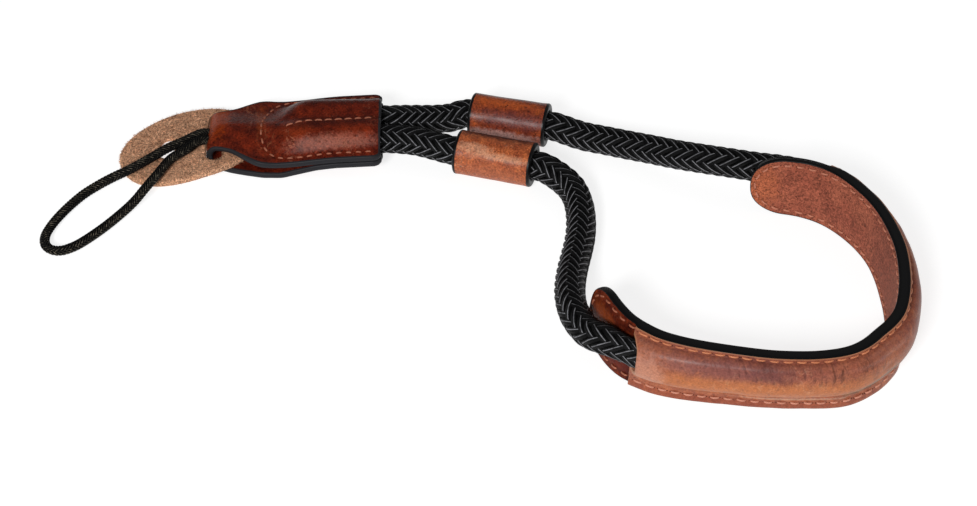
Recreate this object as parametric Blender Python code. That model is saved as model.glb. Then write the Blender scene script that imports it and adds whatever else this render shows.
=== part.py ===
# Camera wrist strap: a leather wrist band with a rope sewn along its outside, two leather sliders on the
# rope, a folded leather connector that holds both rope ends, a suede guard pad and a thin cord loop.
# The strap lies on a surface. +X runs along the strap to the band, +Y away from the viewer, +Z up.
import math

import bmesh
import bpy
from mathutils import Vector

mm = 0.001

# Rope and thin cord
rope_diameter = 8.3 * mm
rope_press_height = 9.2 * mm
rope_press_depth = 3.7 * mm
rope_squeeze = 0.74
rope_spacing = 4.6 * mm
rope_join_gap = 0.6 * mm
tether_diameter = 2.8 * mm
tether_spacing = 2.9 * mm

# Clearances between pieces that touch
fit_gap = 0.3 * mm
layer_gap = 0.2 * mm

# Wrist band: a lining, a strip behind it and a cover that wraps the rope
band_width = 20.0 * mm
lining_leather = 1.0 * mm
strip_leather = 1.0 * mm
cover_leather = 1.0 * mm
band_reach = 78.3 * mm
band_depth = 74.3 * mm
band_left = 29.0 * mm
band_near = -56.6 * mm
cover_setback = 20.8 * mm
cover_draw = 3.4 * mm
cover_foot = 1.3 * mm
cover_foot_bend = (0.45, 0.12)
cover_side_bend = (0.08, 0.5)
pressed_rope_sides = 14
rope_height_on_band = 12.6 * mm
band_step = 2.6 * mm
band_steps = 12
end_step = 0.12

# Sliders
slider_length = 23.0 * mm
slider_leather = 2.0 * mm
slider_edge_round = 0.45 * mm
slider_sides = 28
far_slider_x = 6.2 * mm
far_slider_y = 50.3 * mm
far_slider_turn = math.radians(-13.1)
near_slider_x = 2.1 * mm
near_slider_y = 33.0 * mm
near_slider_turn = math.radians(-15.7)

# Connector: one leather strip, folded through the slot of the guard pad
connector_leather = 1.8 * mm
connector_length = 50.3 * mm
connector_flange = 2.8 * mm
connector_foot = 0.6 * mm
connector_neck = 8.2 * mm
neck_flare = 1.18
hump_side_angle = math.radians(60)
hump_marks = (18, 38)
middle_marks = (0.34, 0.67)
connector_lift = 4.1 * mm
fold_slack = 0.5 * mm
rope_hold = 27.6 * mm
rope_hump_margin = 1.8 * mm
rope_hump_run = 6.5 * mm
mouth_x = -31.5 * mm
mouth_y = 46.2 * mm
connector_turn = math.radians(1.0)

# Guard pad
pad_thickness = 2.0 * mm
pad_length = 41.6 * mm
pad_width = 28.9 * mm
pad_corner = 2.2
pad_x = -87.0 * mm
pad_y = 42.8 * mm
pad_turn = math.radians(23.0)
pad_droop_run = 24.0 * mm
fold_slot_width = 5.2 * mm
fold_slot_shift = 2.2 * mm
free_slot_length = 9.5 * mm
free_slot_width = 4.4 * mm
free_slot_x = -93.3 * mm
free_slot_y = 41.6 * mm

# Thin cord loop, where its two legs enter the fold
tether_offset = -1.9 * mm
tether_hold = 4.6 * mm

# The band's inner face at half height, from its far end round to its near end, in rows of
# across, depth, lean, press, level. across and depth are shares of band_reach and band_depth, lean is the
# outward lean of the top per height, press is the share of rope_press_depth that the rope keeps there,
# and level is the share of rope_height_on_band at which the rope's middle runs.
band_rows = (
    (0.567, 1.000, 0.00, 1.10, 0.84),
    (0.664, 0.981, 0.00, 1.10, 0.84),
    (0.753, 0.961, 0.02, 1.05, 0.84),
    (0.836, 0.912, 0.03, 1.00, 0.84),
    (0.918, 0.806, 0.02, 1.00, 0.84),
    (0.970, 0.685, 0.03, 1.00, 0.84),
    (0.996, 0.513, 0.08, 1.00, 0.84),
    (0.992, 0.345, 0.06, 0.95, 0.88),
    (0.970, 0.200, -0.03, 0.72, 0.93),
    (0.930, 0.132, -0.04, 0.66, 0.96),
    (0.894, 0.092, -0.05, 0.66, 0.98),
    (0.838, 0.040, -0.01, 0.72, 1.00),
    (0.776, 0.011, 0.03, 0.80, 1.00),
    (0.676, 0.000, 0.08, 0.88, 1.00),
    (0.549, 0.004, 0.08, 0.92, 1.00),
    (0.421, 0.023, 0.05, 0.95, 1.00),
    (0.293, 0.048, 0.00, 1.00, 1.00),
    (0.198, 0.080, -0.04, 1.10, 1.00),
    (0.144, 0.114, -0.08, 1.15, 1.00),
    (0.102, 0.147, -0.12, 1.15, 1.00),
    (0.072, 0.188, -0.14, 1.15, 1.00),
    (0.041, 0.250, -0.14, 1.15, 1.00),
    (0.000, 0.370, -0.14, 1.15, 1.00),
)

# The connector's two layers, in rows of along, wide, lift, open. along is a share of connector_length
# from the mouth to the fold, wide of the half width, lift of connector_lift, and open is the share of
# the fold's room between the two layers.
lower_layer_rows = (
    (-0.012, 0.93, 1.00, 0.00),
    (-0.004, 0.965, 1.00, 0.00),
    (0.01, 0.99, 1.00, 0.00),
    (0.05, 1.00, 0.98, 0.00),
    (0.13, 1.00, 0.93, 0.00),
    (0.25, 1.00, 0.86, 0.00),
    (0.36, 1.00, 0.68, 0.00),
    (0.45, 1.00, 0.38, 0.00),
    (0.56, 1.00, 0.00, 0.00),
    (0.67, 0.99, 0.00, 0.00),
    (0.77, 0.91, 0.00, 0.00),
    (0.87, 0.81, 0.00, 0.00),
)
upper_layer_rows = (
    (0.87, 0.63, 0.00, 1.00),
    (0.825, 0.71, 0.00, 0.97),
    (0.77, 0.83, 0.00, 0.92),
    (0.715, 0.95, 0.00, 0.82),
    (0.67, 1.00, 0.00, 0.66),
    (0.62, 1.00, 0.00, 0.57),
    (0.56, 1.00, 0.00, 0.57),
    (0.45, 1.00, 0.38, 0.23),
    (0.36, 1.00, 0.68, 0.04),
    (0.25, 1.00, 0.86, 0.00),
    (0.13, 1.00, 0.93, 0.00),
    (0.05, 1.00, 0.98, 0.00),
    (0.02, 0.985, 1.00, 0.00),
    (0.00, 0.93, 1.00, 0.00),
)
fold_angles = (-90, -60, -30, 0, 30, 60, 90)

# Points of the rope's free stretches and of the thin cord, chosen by eye along the route of each
far_rope_left_points = ((-26.0, 51.9, 5.6), (-21.0, 53.4, 4.7), (-15.5, 53.9, 4.5), (-10.6, 53.9, 5.3))
far_rope_right_points = (
    (23.4, 46.2, 5.4), (27.6, 45.0, 4.6), (33.4, 43.2, 4.6), (40.2, 40.2, 5.3), (46.9, 37.0, 6.3),
    (53.5, 33.2, 7.7), (60.1, 29.7, 9.2), (66.7, 26.7, 10.4),
)
near_rope_left_points = ((-25.3, 40.9, 6.3), (-20.2, 39.6, 6.4))
near_rope_right_points = (
    (16.9, 28.3, 6.2), (20.2, 25.7, 5.6), (22.9, 22.8, 5.0), (24.5, 19.6, 4.6), (25.6, 14.0, 4.4),
    (25.8, 7.2, 4.4), (25.3, 1.0, 4.5), (24.3, -5.0, 5.1), (22.9, -12.7, 6.3), (21.9, -20.6, 7.8),
    (21.7, -27.4, 9.1), (22.4, -33.3, 10.0), (23.9, -37.9, 10.5), (26.4, -42.2, 10.9),
)
far_band_shares = (0.1, 0.4, 0.7, 1.0)
near_band_shares = (0.72, 1.0)
tether_points = (
    (-88.4, 41.4, 5.7), (-92.8, 38.8, 5.3), (-98.4, 34.3, 4.6), (-103.7, 30.4, 3.9), (-107.3, 28.8, 3.0),
    (-111.2, 27.0, 1.8), (-116.0, 22.2, 1.45), (-121.0, 13.7, 1.45), (-123.5, 6.8, 1.45),
    (-123.5, 2.8, 1.45), (-121.9, 0.2, 1.45), (-119.0, -0.7, 1.45), (-116.1, 0.4, 1.45),
    (-113.2, 2.7, 1.45), (-108.0, 8.7, 1.45), (-103.2, 15.3, 1.6), (-100.2, 18.9, 2.6),
    (-97.7, 22.2, 4.1), (-94.2, 28.6, 4.9), (-91.4, 34.0, 5.3), (-87.0, 38.0, 5.7),
)

rope_radius = rope_diameter / 2
tether_radius = tether_diameter / 2
slider_bore_radius = rope_radius + fit_gap
slider_radius = slider_bore_radius + slider_leather
rope_height_in_connector = connector_leather + fit_gap + rope_radius
rope_pair_offset = rope_radius + fit_gap / 2
over_rope = rope_radius + fit_gap + connector_leather
connector_half = rope_pair_offset + over_rope + connector_foot + connector_flange
pad_rest = connector_leather + layer_gap
pad_top = pad_rest + pad_thickness
fold_room = pad_thickness + 2 * layer_gap + fold_slack
tether_height = pad_top + fit_gap + tether_radius
tether_pair_offset = tether_radius + fit_gap / 2
over_tether = tether_height + tether_radius + fit_gap + connector_leather
strip_inside = lining_leather + layer_gap
strip_outside = strip_inside + strip_leather
cover_inside = strip_outside + layer_gap


def make_material(name, colour, roughness):
    material = bpy.data.materials.new(name)
    material.use_nodes = True
    shader = material.node_tree.nodes["Principled BSDF"]
    shader.inputs["Base Color"].default_value = (*colour, 1.0)
    shader.inputs["Roughness"].default_value = roughness
    shader.inputs["Metallic"].default_value = 0.0
    return material


def smooth_points(points, per_span=12):
    # A smooth curve through every point, with tangents taken from the neighbours
    points = [Vector(p) for p in points]
    padded = [2 * points[0] - points[1], *points, 2 * points[-1] - points[-2]]
    curve = []
    for first, second, third, fourth in zip(padded, padded[1:], padded[2:], padded[3:]):
        reach = (third - second).length
        start_pull = (third - first).normalized() * reach
        end_pull = (fourth - second).normalized() * reach
        for step in range(per_span):
            t = step / per_span
            curve.append(
                (2 * t**3 - 3 * t**2 + 1) * second + (t**3 - 2 * t**2 + t) * start_pull
                + (3 * t**2 - 2 * t**3) * third + (t**3 - t**2) * end_pull
            )
    curve.append(points[-1])
    return curve


def path_lengths(points):
    lengths = [0.0]
    for start, end in zip(points, points[1:]):
        lengths.append(lengths[-1] + (end - start).length)
    return lengths


def point_at(points, lengths, distance):
    distance = min(max(distance, 0.0), lengths[-1])
    index = 0
    while index < len(lengths) - 2 and lengths[index + 1] < distance:
        index += 1
    share = (distance - lengths[index]) / (lengths[index + 1] - lengths[index])
    return points[index].lerp(points[index + 1], share)


def even_points(points, spacing):
    lengths = path_lengths(points)
    count = max(2, round(lengths[-1] / spacing))
    return [point_at(points, lengths, lengths[-1] * i / count) for i in range(count + 1)]


def ease(share):
    share = min(max(share, 0.0), 1.0)
    return share * share * (3 - 2 * share)


def table_value(rows, column, along):
    # Straight reading between the rows of a table whose first column is the distance
    rows = sorted(rows)
    if along <= rows[0][0]:
        return rows[0][column]
    for row, next_row in zip(rows, rows[1:]):
        if along <= next_row[0]:
            share = (along - row[0]) / (next_row[0] - row[0])
            return row[column] + share * (next_row[column] - row[column])
    return rows[-1][column]


def finish_mesh(name, bm, material, sharp_angle=35):
    bmesh.ops.recalc_face_normals(bm, faces=bm.faces)
    mesh = bpy.data.meshes.new(name)
    bm.to_mesh(mesh)
    bm.free()
    mesh.shade_smooth()
    mesh.set_sharp_from_angle(angle=math.radians(sharp_angle))
    piece = bpy.data.objects.new(name, mesh)
    bpy.context.scene.collection.objects.link(piece)
    piece.data.materials.append(material)
    piece.parent = strap_frame
    return piece


def ring_solid(name, rings, material, joined=False):
    # Bridges rings of equally many points, and caps the two ends unless the rings close on themselves
    bm = bmesh.new()
    loops = [[bm.verts.new(point) for point in ring] for ring in rings]
    pairs = list(zip(loops, loops[1:]))
    if joined:
        pairs.append((loops[-1], loops[0]))
    for loop, next_loop in pairs:
        for i in range(len(loop)):
            j = (i + 1) % len(loop)
            bm.faces.new((loop[i], loop[j], next_loop[j], next_loop[i]))
    if not joined:
        bm.faces.new(loops[0])
        bm.faces.new(list(reversed(loops[-1])))
    return finish_mesh(name, bm, material)


def cord_tube(name, points, diameter, spacing, resolution, material, squeeze_from=None):
    # A filled tube along the points, narrower past squeeze_from, a distance from the start
    dense = smooth_points(points)
    route = even_points(dense, spacing)
    lengths = path_lengths(route)
    curve = bpy.data.curves.new(name, "CURVE")
    curve.dimensions = "3D"
    curve.bevel_depth = diameter / 2
    curve.bevel_resolution = resolution
    curve.use_fill_caps = True
    spline = curve.splines.new("POLY")
    spline.points.add(len(route) - 1)
    for knot, point, length in zip(spline.points, route, lengths):
        knot.co = (*point, 1.0)
        if squeeze_from is not None:
            share = ease((length - squeeze_from) / rope_diameter)
            knot.radius = 1 - share * (1 - rope_squeeze)
    piece = bpy.data.objects.new(name, curve)
    bpy.context.scene.collection.objects.link(piece)
    piece.data.materials.append(material)
    piece.parent = strap_frame
    return piece


def turned(x, y, z, turn, origin_x, origin_y):
    return Vector((
        origin_x + x * math.cos(turn) - y * math.sin(turn),
        origin_y + x * math.sin(turn) + y * math.cos(turn),
        z,
    ))


def in_connector(distance, y, z):
    return turned(-distance, y, z, connector_turn, mouth_x, mouth_y)


# Wrist band

def build_band_path():
    rows = [
        Vector((band_left + across * band_reach, band_near + depth * band_depth, 0.0))
        for across, depth, lean, press, level in band_rows
    ]
    route = smooth_points(rows, band_steps)
    lengths = path_lengths(route)
    leans = [(lengths[index * band_steps], row[2]) for index, row in enumerate(band_rows)]
    presses = [(lengths[index * band_steps], row[3]) for index, row in enumerate(band_rows)]
    levels = [(lengths[index * band_steps], row[4]) for index, row in enumerate(band_rows)]
    return route, lengths, leans, presses, levels


def band_lean(distance):
    return table_value(band_leans, 1, distance)


def rope_depth_at(distance):
    return rope_press_depth * table_value(band_presses, 1, distance)


def rope_level_at(distance):
    return rope_height_on_band * table_value(band_levels, 1, distance)


def on_band(distance, outward, height):
    # A point of the band: distance along its inner face, outward from that face, height above the surface
    reach = band_step / 4
    ahead = point_at(band_route, band_lengths, distance + reach)
    behind = point_at(band_route, band_lengths, distance - reach)
    heading = (ahead - behind).normalized()
    away = Vector((-heading.y, heading.x, 0.0))
    shift = outward + band_lean(distance) * (height - band_width / 2)
    return point_at(band_route, band_lengths, distance) + away * shift + Vector((0.0, 0.0, height))


def band_stations(start, end, round_ends):
    # Distances along the band, closer together on the round ends, with the half height at each
    stations = []
    radius = band_width / 2
    inner_start, inner_end = start, end
    if round_ends:
        inner_start, inner_end = start + radius, end - radius
        corner = []
        share = end_step
        while share < 0.999:
            corner.append((radius * (1 - math.cos(share * math.pi / 2)), radius * math.sin(share * math.pi / 2)))
            share += end_step
        stations += [(start + run, half) for run, half in corner]
    count = round((inner_end - inner_start) / band_step)
    for i in range(count + 1):
        stations.append((inner_start + (inner_end - inner_start) * i / count, radius))
    if round_ends:
        stations += [(end - run, half) for run, half in reversed(corner)]
    return stations


def band_strip(name, inside, outside, material):
    rings = []
    for distance, half in band_stations(0.0, band_length, True):
        low, high = band_width / 2 - half, band_width / 2 + half
        rings.append([
            on_band(distance, inside, low), on_band(distance, outside, low),
            on_band(distance, outside, high), on_band(distance, inside, high),
        ])
    return ring_solid(name, rings, material)


def cover_profile(rope_depth, centre):
    # The cover's inner outline from its lower edge to its upper edge, as (height, outward) pairs
    half = rope_press_height / 2 + fit_gap
    rise = rope_depth / 2 + fit_gap
    press_centre = strip_outside + fit_gap + rope_depth / 2
    side = [(half + cover_foot, cover_inside)]
    for run, climb in (cover_foot_bend, cover_side_bend):
        side.append((half + run * cover_foot, cover_inside + climb * rise))
    arch = [(half * math.cos(math.radians(a)), press_centre + rise * math.sin(math.radians(a)))
            for a in (8, 34, 62, 90, 118, 146, 172)]
    lower = [(centre - reach, outward) for reach, outward in side]
    upper = [(centre + reach, outward) for reach, outward in reversed(side)]
    middle = [(centre - reach, outward) for reach, outward in arch]
    return [(0.0, cover_inside), *lower, *middle, *upper, (band_width, cover_inside)]


def offset_profile(profile, thickness):
    # The same outline moved outward along its own normals; the two ends stay on their heights
    moved = []
    for i, (height, outward) in enumerate(profile):
        before = profile[max(i - 1, 0)]
        after = profile[min(i + 1, len(profile) - 1)]
        run = Vector((after[0] - before[0], after[1] - before[1])).normalized()
        moved.append((height - run.y * thickness, outward + run.x * thickness))
    return moved


def drawn_in(distance, outward):
    # The cover is drawn back over the rope, so its cut ends stand further in there than on its flanges
    bulge = min(1.0, max(0.0, (outward - cover_inside - cover_leather) / rope_press_depth))
    from_middle = (distance - band_length / 2) / (band_length / 2 - cover_setback)
    return distance - cover_draw * bulge * from_middle


def build_band_cover(material):
    rings = []
    for distance, half in band_stations(cover_setback, band_length - cover_setback, False):
        inner = cover_profile(rope_depth_at(distance), rope_level_at(distance))
        outer = offset_profile(inner, cover_leather)
        ring = [on_band(drawn_in(distance, outward), outward, height) for height, outward in inner]
        ring += [on_band(drawn_in(distance, outward), outward, height) for height, outward in reversed(outer)]
        rings.append(ring)
    return ring_solid("band_cover", rings, material)


def build_pressed_rope(material):
    # The stretch of rope inside the band, pressed to an oval
    rings = []
    start, end = cover_setback, band_length - cover_setback
    for distance, half in band_stations(start, end, False):
        ring = []
        depth = rope_depth_at(distance)
        for step in range(pressed_rope_sides):
            angle = 2 * math.pi * step / pressed_rope_sides
            outward = strip_outside + fit_gap + depth / 2 * (1 + math.cos(angle))
            height = rope_level_at(distance) + rope_press_height / 2 * math.sin(angle)
            ring.append(on_band(distance, outward, height))
        rings.append(ring)
    return ring_solid("rope_in_band", rings, material)


# Sliders

def build_slider(name, x, y, turn, material):
    half = slider_length / 2
    inner, outer, edge = slider_bore_radius, slider_radius, slider_edge_round
    section = [(-half, inner), (-half, outer - edge), (-half + edge, outer),
               (half - edge, outer), (half, outer - edge), (half, inner)]
    rings = []
    for step in range(slider_sides):
        angle = 2 * math.pi * (step + 0.5) / slider_sides
        rings.append([Vector((along, radius * math.sin(angle), radius * math.cos(angle)))
                      for along, radius in section])
    piece = ring_solid(name, rings, material, joined=True)
    lowest = outer * math.cos(math.pi / slider_sides)
    piece.location = (x, y, lowest)
    piece.rotation_euler = (0.0, 0.0, turn)
    return piece


def slider_axis(x, y, turn, along):
    height = slider_radius * math.cos(math.pi / slider_sides)
    return turned(along, 0.0, height, turn, x, y)


# Connector

def upper_height(along, y):
    # Outer surface of the upper layer above the surface that the strap lies on
    distance = along * connector_length
    lift = table_value(upper_layer_rows, 2, along) * connector_lift
    opening = table_value(upper_layer_rows, 3, along) * fold_room
    flange = lift + 2 * connector_leather + fit_gap + opening
    side = abs(y)
    round_limit = rope_pair_offset + over_rope * math.sin(hump_side_angle)
    foot = rope_pair_offset + over_rope + connector_foot
    if side <= round_limit:
        hump = rope_height_in_connector + math.sqrt(over_rope**2 - (side - rope_pair_offset)**2)
    else:
        edge_height = rope_height_in_connector + over_rope / 2
        hump = edge_height + (flange - edge_height) * ease((side - round_limit) / (foot - round_limit))
    flat = 2 * tether_radius + 2 * fit_gap + connector_leather / 2
    fall = connector_leather + fit_gap
    neck = flange + (over_tether - flange) * (1 - ease((abs(y - tether_offset) - flat) / fall))
    blend = ease(1 - (distance - rope_hold - rope_hump_margin) / rope_hump_run)
    return neck + (hump - neck) * blend


def lower_height(along, y):
    lift = table_value(lower_layer_rows, 2, along) * connector_lift
    start = rope_pair_offset + over_rope * math.sin(hump_side_angle)
    foot = rope_pair_offset + over_rope + connector_foot
    return lift * ease((abs(y) - start) / (foot - start))


def across_shares():
    # Where the grid lines run along the strip, from its middle to its edge and mirrored
    marks = [0.0, *(share * rope_pair_offset for share in middle_marks), rope_pair_offset]
    marks += [rope_pair_offset + over_rope * math.sin(math.radians(a)) for a in hump_marks]
    marks.append(rope_pair_offset + over_rope * math.sin(hump_side_angle))
    foot = rope_pair_offset + over_rope + connector_foot
    marks += [(marks[-1] + foot) / 2, foot, connector_half]
    half = [mark / connector_half for mark in marks]
    return [-share for share in reversed(half[1:])] + half


def build_connector(material):
    shares = across_shares()
    rows = []
    for along, wide, lift, opening in lower_layer_rows:
        row = []
        for share in shares:
            y = share * wide * connector_half
            row.append((along * connector_length, y, lower_height(along, y)))
        rows.append(row)
    last_along = upper_layer_rows[0][0]
    for angle in fold_angles:
        turn = math.radians(angle)
        wide = connector_neck * (1 + (neck_flare - 1) * max(0.0, -math.sin(turn)))
        row = []
        for share in shares:
            y = share * wide
            radius = upper_height(last_along, y) / 2
            distance = connector_length - radius * (1 - math.cos(turn))
            row.append((distance, y, radius * (1 + math.sin(turn))))
        rows.append(row)
    for along, wide, lift, opening in upper_layer_rows:
        row = []
        for share in shares:
            y = share * wide * connector_half
            row.append((along * connector_length, y, upper_height(along, y)))
        rows.append(row)
    bm = bmesh.new()
    grid = [[bm.verts.new(in_connector(*point)) for point in row] for row in rows]
    for row, next_row in zip(grid, grid[1:]):
        for i in range(len(row) - 1):
            bm.faces.new((row[i], next_row[i], next_row[i + 1], row[i + 1]))
    mesh = bpy.data.meshes.new("connector")
    bm.to_mesh(mesh)
    bm.free()
    piece = bpy.data.objects.new("connector", mesh)
    bpy.context.scene.collection.objects.link(piece)
    piece.data.materials.append(material)
    piece.parent = strap_frame
    wall = piece.modifiers.new("wall", "SOLIDIFY")
    wall.thickness = connector_leather
    wall.offset = -1.0
    wall.use_even_offset = True
    wall.use_rim = True
    hole = piece.modifiers.new("cord_hole", "BOOLEAN")
    hole.operation = "DIFFERENCE"
    hole.solver = "EXACT"
    hole.object = build_cord_hole_cutter()
    mesh.shade_smooth()
    mesh.set_sharp_from_angle(angle=math.radians(35))
    return piece


def build_cord_hole_cutter():
    half_wide = 2 * tether_radius + fit_gap * 1.5
    low = tether_height - tether_radius - fit_gap
    high = tether_height + tether_radius + fit_gap
    outline = [(tether_offset - half_wide, low), (tether_offset + half_wide, low),
               (tether_offset + half_wide, high), (tether_offset - half_wide, high)]
    rings = [[in_connector(distance, y, z) for y, z in outline]
             for distance in (connector_length + 2 * fit_gap, connector_length - over_tether / 2)]
    cutter = ring_solid("cord_hole_cutter", rings, leather_dark)
    return hide_cutter(cutter)


def hide_cutter(cutter):
    cutter.hide_render = True
    cutter.display_type = "WIRE"
    return cutter


# Guard pad

def pad_height(along):
    # Underside of the pad: level where it rests in the fold, drooping to the surface at its outer end
    run = (along + pad_length / 2) / pad_droop_run
    return pad_rest * ease(run)


def build_pad(material):
    steps = 22
    rings = []
    for i in range(1, steps):
        angle = math.pi * i / steps
        along = -pad_length / 2 * math.copysign(abs(math.cos(angle)) ** (2 / pad_corner), math.cos(angle))
        half = pad_width / 2 * math.sin(angle) ** (2 / pad_corner)
        low = pad_height(along)
        high = low + pad_thickness
        ring = []
        for y, z in ((-half, low), (half, low), (half, high), (-half, high)):
            ring.append(Vector((along, y, z)))
        rings.append(ring)
    piece = ring_solid("guard_pad", rings, material)
    piece.location = (pad_x, pad_y, 0.0)
    piece.rotation_euler = (0.0, 0.0, pad_turn)
    fold_middle = in_connector(connector_length - fold_slot_shift, 0.0, 0.0)
    fold_slot_length = 2 * connector_neck * neck_flare + 4 * fit_gap
    slots = (
        (fold_middle.x, fold_middle.y, fold_slot_length, fold_slot_width, "fold_slot"),
        (free_slot_x, free_slot_y, free_slot_length, free_slot_width, "free_slot"),
    )
    for x, y, length, width, name in slots:
        cut = piece.modifiers.new(name, "BOOLEAN")
        cut.operation = "DIFFERENCE"
        cut.solver = "EXACT"
        cut.object = build_slot_cutter(name + "_cutter", x, y, length, width)
    return piece


def build_slot_cutter(name, x, y, length, width):
    radius = width / 2
    outline = []
    for end, start_angle in ((1, 0), (-1, 180)):
        for step in range(7):
            angle = math.radians(start_angle + 30 * step)
            outline.append((radius * math.cos(angle), end * (length / 2 - radius) + radius * math.sin(angle)))
    rings = [[turned(px, py, z, connector_turn, x, y) for px, py in outline]
             for z in (-pad_thickness, pad_top + pad_thickness)]
    return hide_cutter(ring_solid(name, rings, leather_dark))


# Rope and cord routes

def build_ropes(material):
    mouth = {}
    for key, side in (("far", 1), ("near", -1)):
        y = side * rope_pair_offset
        z = rope_height_in_connector
        mouth[key] = [in_connector(d, y, z) for d in (rope_hold, rope_hold / 2, 0.0, -2.5 * mm)]
    half = slider_length / 2
    steps = (-half - 2 * mm, -half, 0.0, half, half + 2 * mm)
    far_bore = [slider_axis(far_slider_x, far_slider_y, far_slider_turn, a) for a in steps]
    near_bore = [slider_axis(near_slider_x, near_slider_y, near_slider_turn, a) for a in steps]

    def along_band(distance, run):
        # The rope's middle beside the band's strip, run being the way still to go to the cover
        radius = rope_radius * (1 - ease(1 - run / rope_diameter) * (1 - rope_squeeze))
        outward = strip_outside + 2 * fit_gap + radius * math.hypot(1, band_lean(distance))
        return on_band(distance, outward, rope_level_at(distance))

    cut = cover_setback - rope_join_gap
    far_band = [along_band(cut * share, cut * (1 - share)) for share in far_band_shares]
    near_band = [along_band(band_length - cut * share, cut * (1 - share)) for share in near_band_shares]
    far_route = (mouth["far"] + [Vector(p) * mm for p in far_rope_left_points] + far_bore
                 + [Vector(p) * mm for p in far_rope_right_points] + far_band)
    near_route = (mouth["near"] + [Vector(p) * mm for p in near_rope_left_points] + near_bore
                  + [Vector(p) * mm for p in near_rope_right_points] + near_band)
    for name, route in (("rope_far", far_route), ("rope_near", near_route)):
        total = path_lengths(smooth_points(route))[-1]
        cord_tube(name, route, rope_diameter, rope_spacing, 2, material, total - rope_diameter)


def build_tether(material):
    starts = []
    for side in (1, -1):
        y = tether_offset + side * tether_pair_offset
        inside = connector_length - tether_hold
        starts.append([in_connector(d, y, tether_height)
                       for d in (inside, connector_length - 1 * mm, connector_length + 2 * mm)])
    route = starts[0] + [Vector(p) * mm for p in tether_points] + list(reversed(starts[1]))
    cord_tube("tether_loop", route, tether_diameter, tether_spacing, 2, material)


def centre_on_footprint():
    # The strap's frame is the middle of its footprint, without the rope and the thin cord
    bpy.context.view_layer.update()
    depsgraph = bpy.context.evaluated_depsgraph_get()
    low = Vector((math.inf, math.inf, 0.0))
    high = Vector((-math.inf, -math.inf, 0.0))
    for piece in bpy.context.scene.objects:
        if piece.type != "MESH" or piece.display_type == "WIRE":
            continue
        evaluated = piece.evaluated_get(depsgraph)
        for vertex in evaluated.data.vertices:
            point = evaluated.matrix_world @ vertex.co
            low.x, low.y = min(low.x, point.x), min(low.y, point.y)
            high.x, high.y = max(high.x, point.x), max(high.y, point.y)
    strap_frame.location = (-(low.x + high.x) / 2, -(low.y + high.y) / 2, 0.0)


for old in list(bpy.data.objects):
    bpy.data.objects.remove(old)

strap_frame = bpy.data.objects.new("strap_frame", None)
bpy.context.scene.collection.objects.link(strap_frame)

rope_black = make_material("rope_black", (0.012, 0.012, 0.013), 0.55)
cord_black = make_material("cord_black", (0.014, 0.014, 0.015), 0.7)
suede_lining = make_material("suede_lining", (0.27, 0.085, 0.045), 0.9)
leather_dark = make_material("leather_dark", (0.13, 0.028, 0.012), 0.35)
leather_cognac = make_material("leather_cognac", (0.36, 0.12, 0.05), 0.45)
leather_slider = make_material("leather_slider", (0.31, 0.095, 0.035), 0.42)
suede_tan = make_material("suede_tan", (0.47, 0.27, 0.16), 0.95)

band_route, band_lengths, band_leans, band_presses, band_levels = build_band_path()
band_length = band_lengths[-1]
band_strip("band_lining", 0.0, lining_leather, suede_lining)
band_strip("band_strip", strip_inside, strip_outside, leather_dark)
build_band_cover(leather_cognac)
build_pressed_rope(rope_black)
build_slider("slider_far", far_slider_x, far_slider_y, far_slider_turn, leather_slider)
build_slider("slider_near", near_slider_x, near_slider_y, near_slider_turn, leather_slider)
build_connector(leather_dark)
build_pad(suede_tan)
build_ropes(rope_black)
build_tether(cord_black)
centre_on_footprint()
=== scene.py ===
# Camera wrist strap of leather and braided rope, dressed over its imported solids
import math

import bmesh
import bpy
import numpy as np
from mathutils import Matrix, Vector, noise


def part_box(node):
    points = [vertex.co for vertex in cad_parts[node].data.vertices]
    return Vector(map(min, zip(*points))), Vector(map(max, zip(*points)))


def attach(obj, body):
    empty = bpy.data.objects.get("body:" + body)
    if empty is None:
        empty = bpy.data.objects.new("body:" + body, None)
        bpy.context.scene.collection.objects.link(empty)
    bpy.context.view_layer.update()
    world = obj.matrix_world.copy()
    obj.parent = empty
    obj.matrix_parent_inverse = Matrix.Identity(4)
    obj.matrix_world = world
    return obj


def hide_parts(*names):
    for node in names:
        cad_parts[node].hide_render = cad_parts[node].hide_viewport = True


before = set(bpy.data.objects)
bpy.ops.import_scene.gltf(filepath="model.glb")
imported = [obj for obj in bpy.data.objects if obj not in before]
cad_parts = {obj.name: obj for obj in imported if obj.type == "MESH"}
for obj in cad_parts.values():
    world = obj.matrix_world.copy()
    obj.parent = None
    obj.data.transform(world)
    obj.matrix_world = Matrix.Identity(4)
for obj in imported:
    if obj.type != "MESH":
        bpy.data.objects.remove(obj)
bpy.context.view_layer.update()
mm = 0.001


def inMillimetres(**sizes):
    return {key: size * mm for key, size in sizes.items()}


# The drawing plan that all the routes below are given on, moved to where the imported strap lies
nearSliderPlace = {**inMillimetres(x=2.1, y=33.0), "turn": math.radians(-15.7)}
farSliderPlace = {**inMillimetres(x=6.2, y=50.3), "turn": math.radians(-13.1)}
sliderLow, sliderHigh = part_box("slider_near")
planShift = (sliderLow + sliderHigh) / 2 - Vector((nearSliderPlace["x"], nearSliderPlace["y"], 0.0))
planShift.z = 0.0

fitGap = 0.3 * mm  # between pieces that touch


# Small tools for routes and tables

def ease(share):
    share = np.clip(share, 0.0, 1.0)
    return share * share * (3 - 2 * share)


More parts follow.
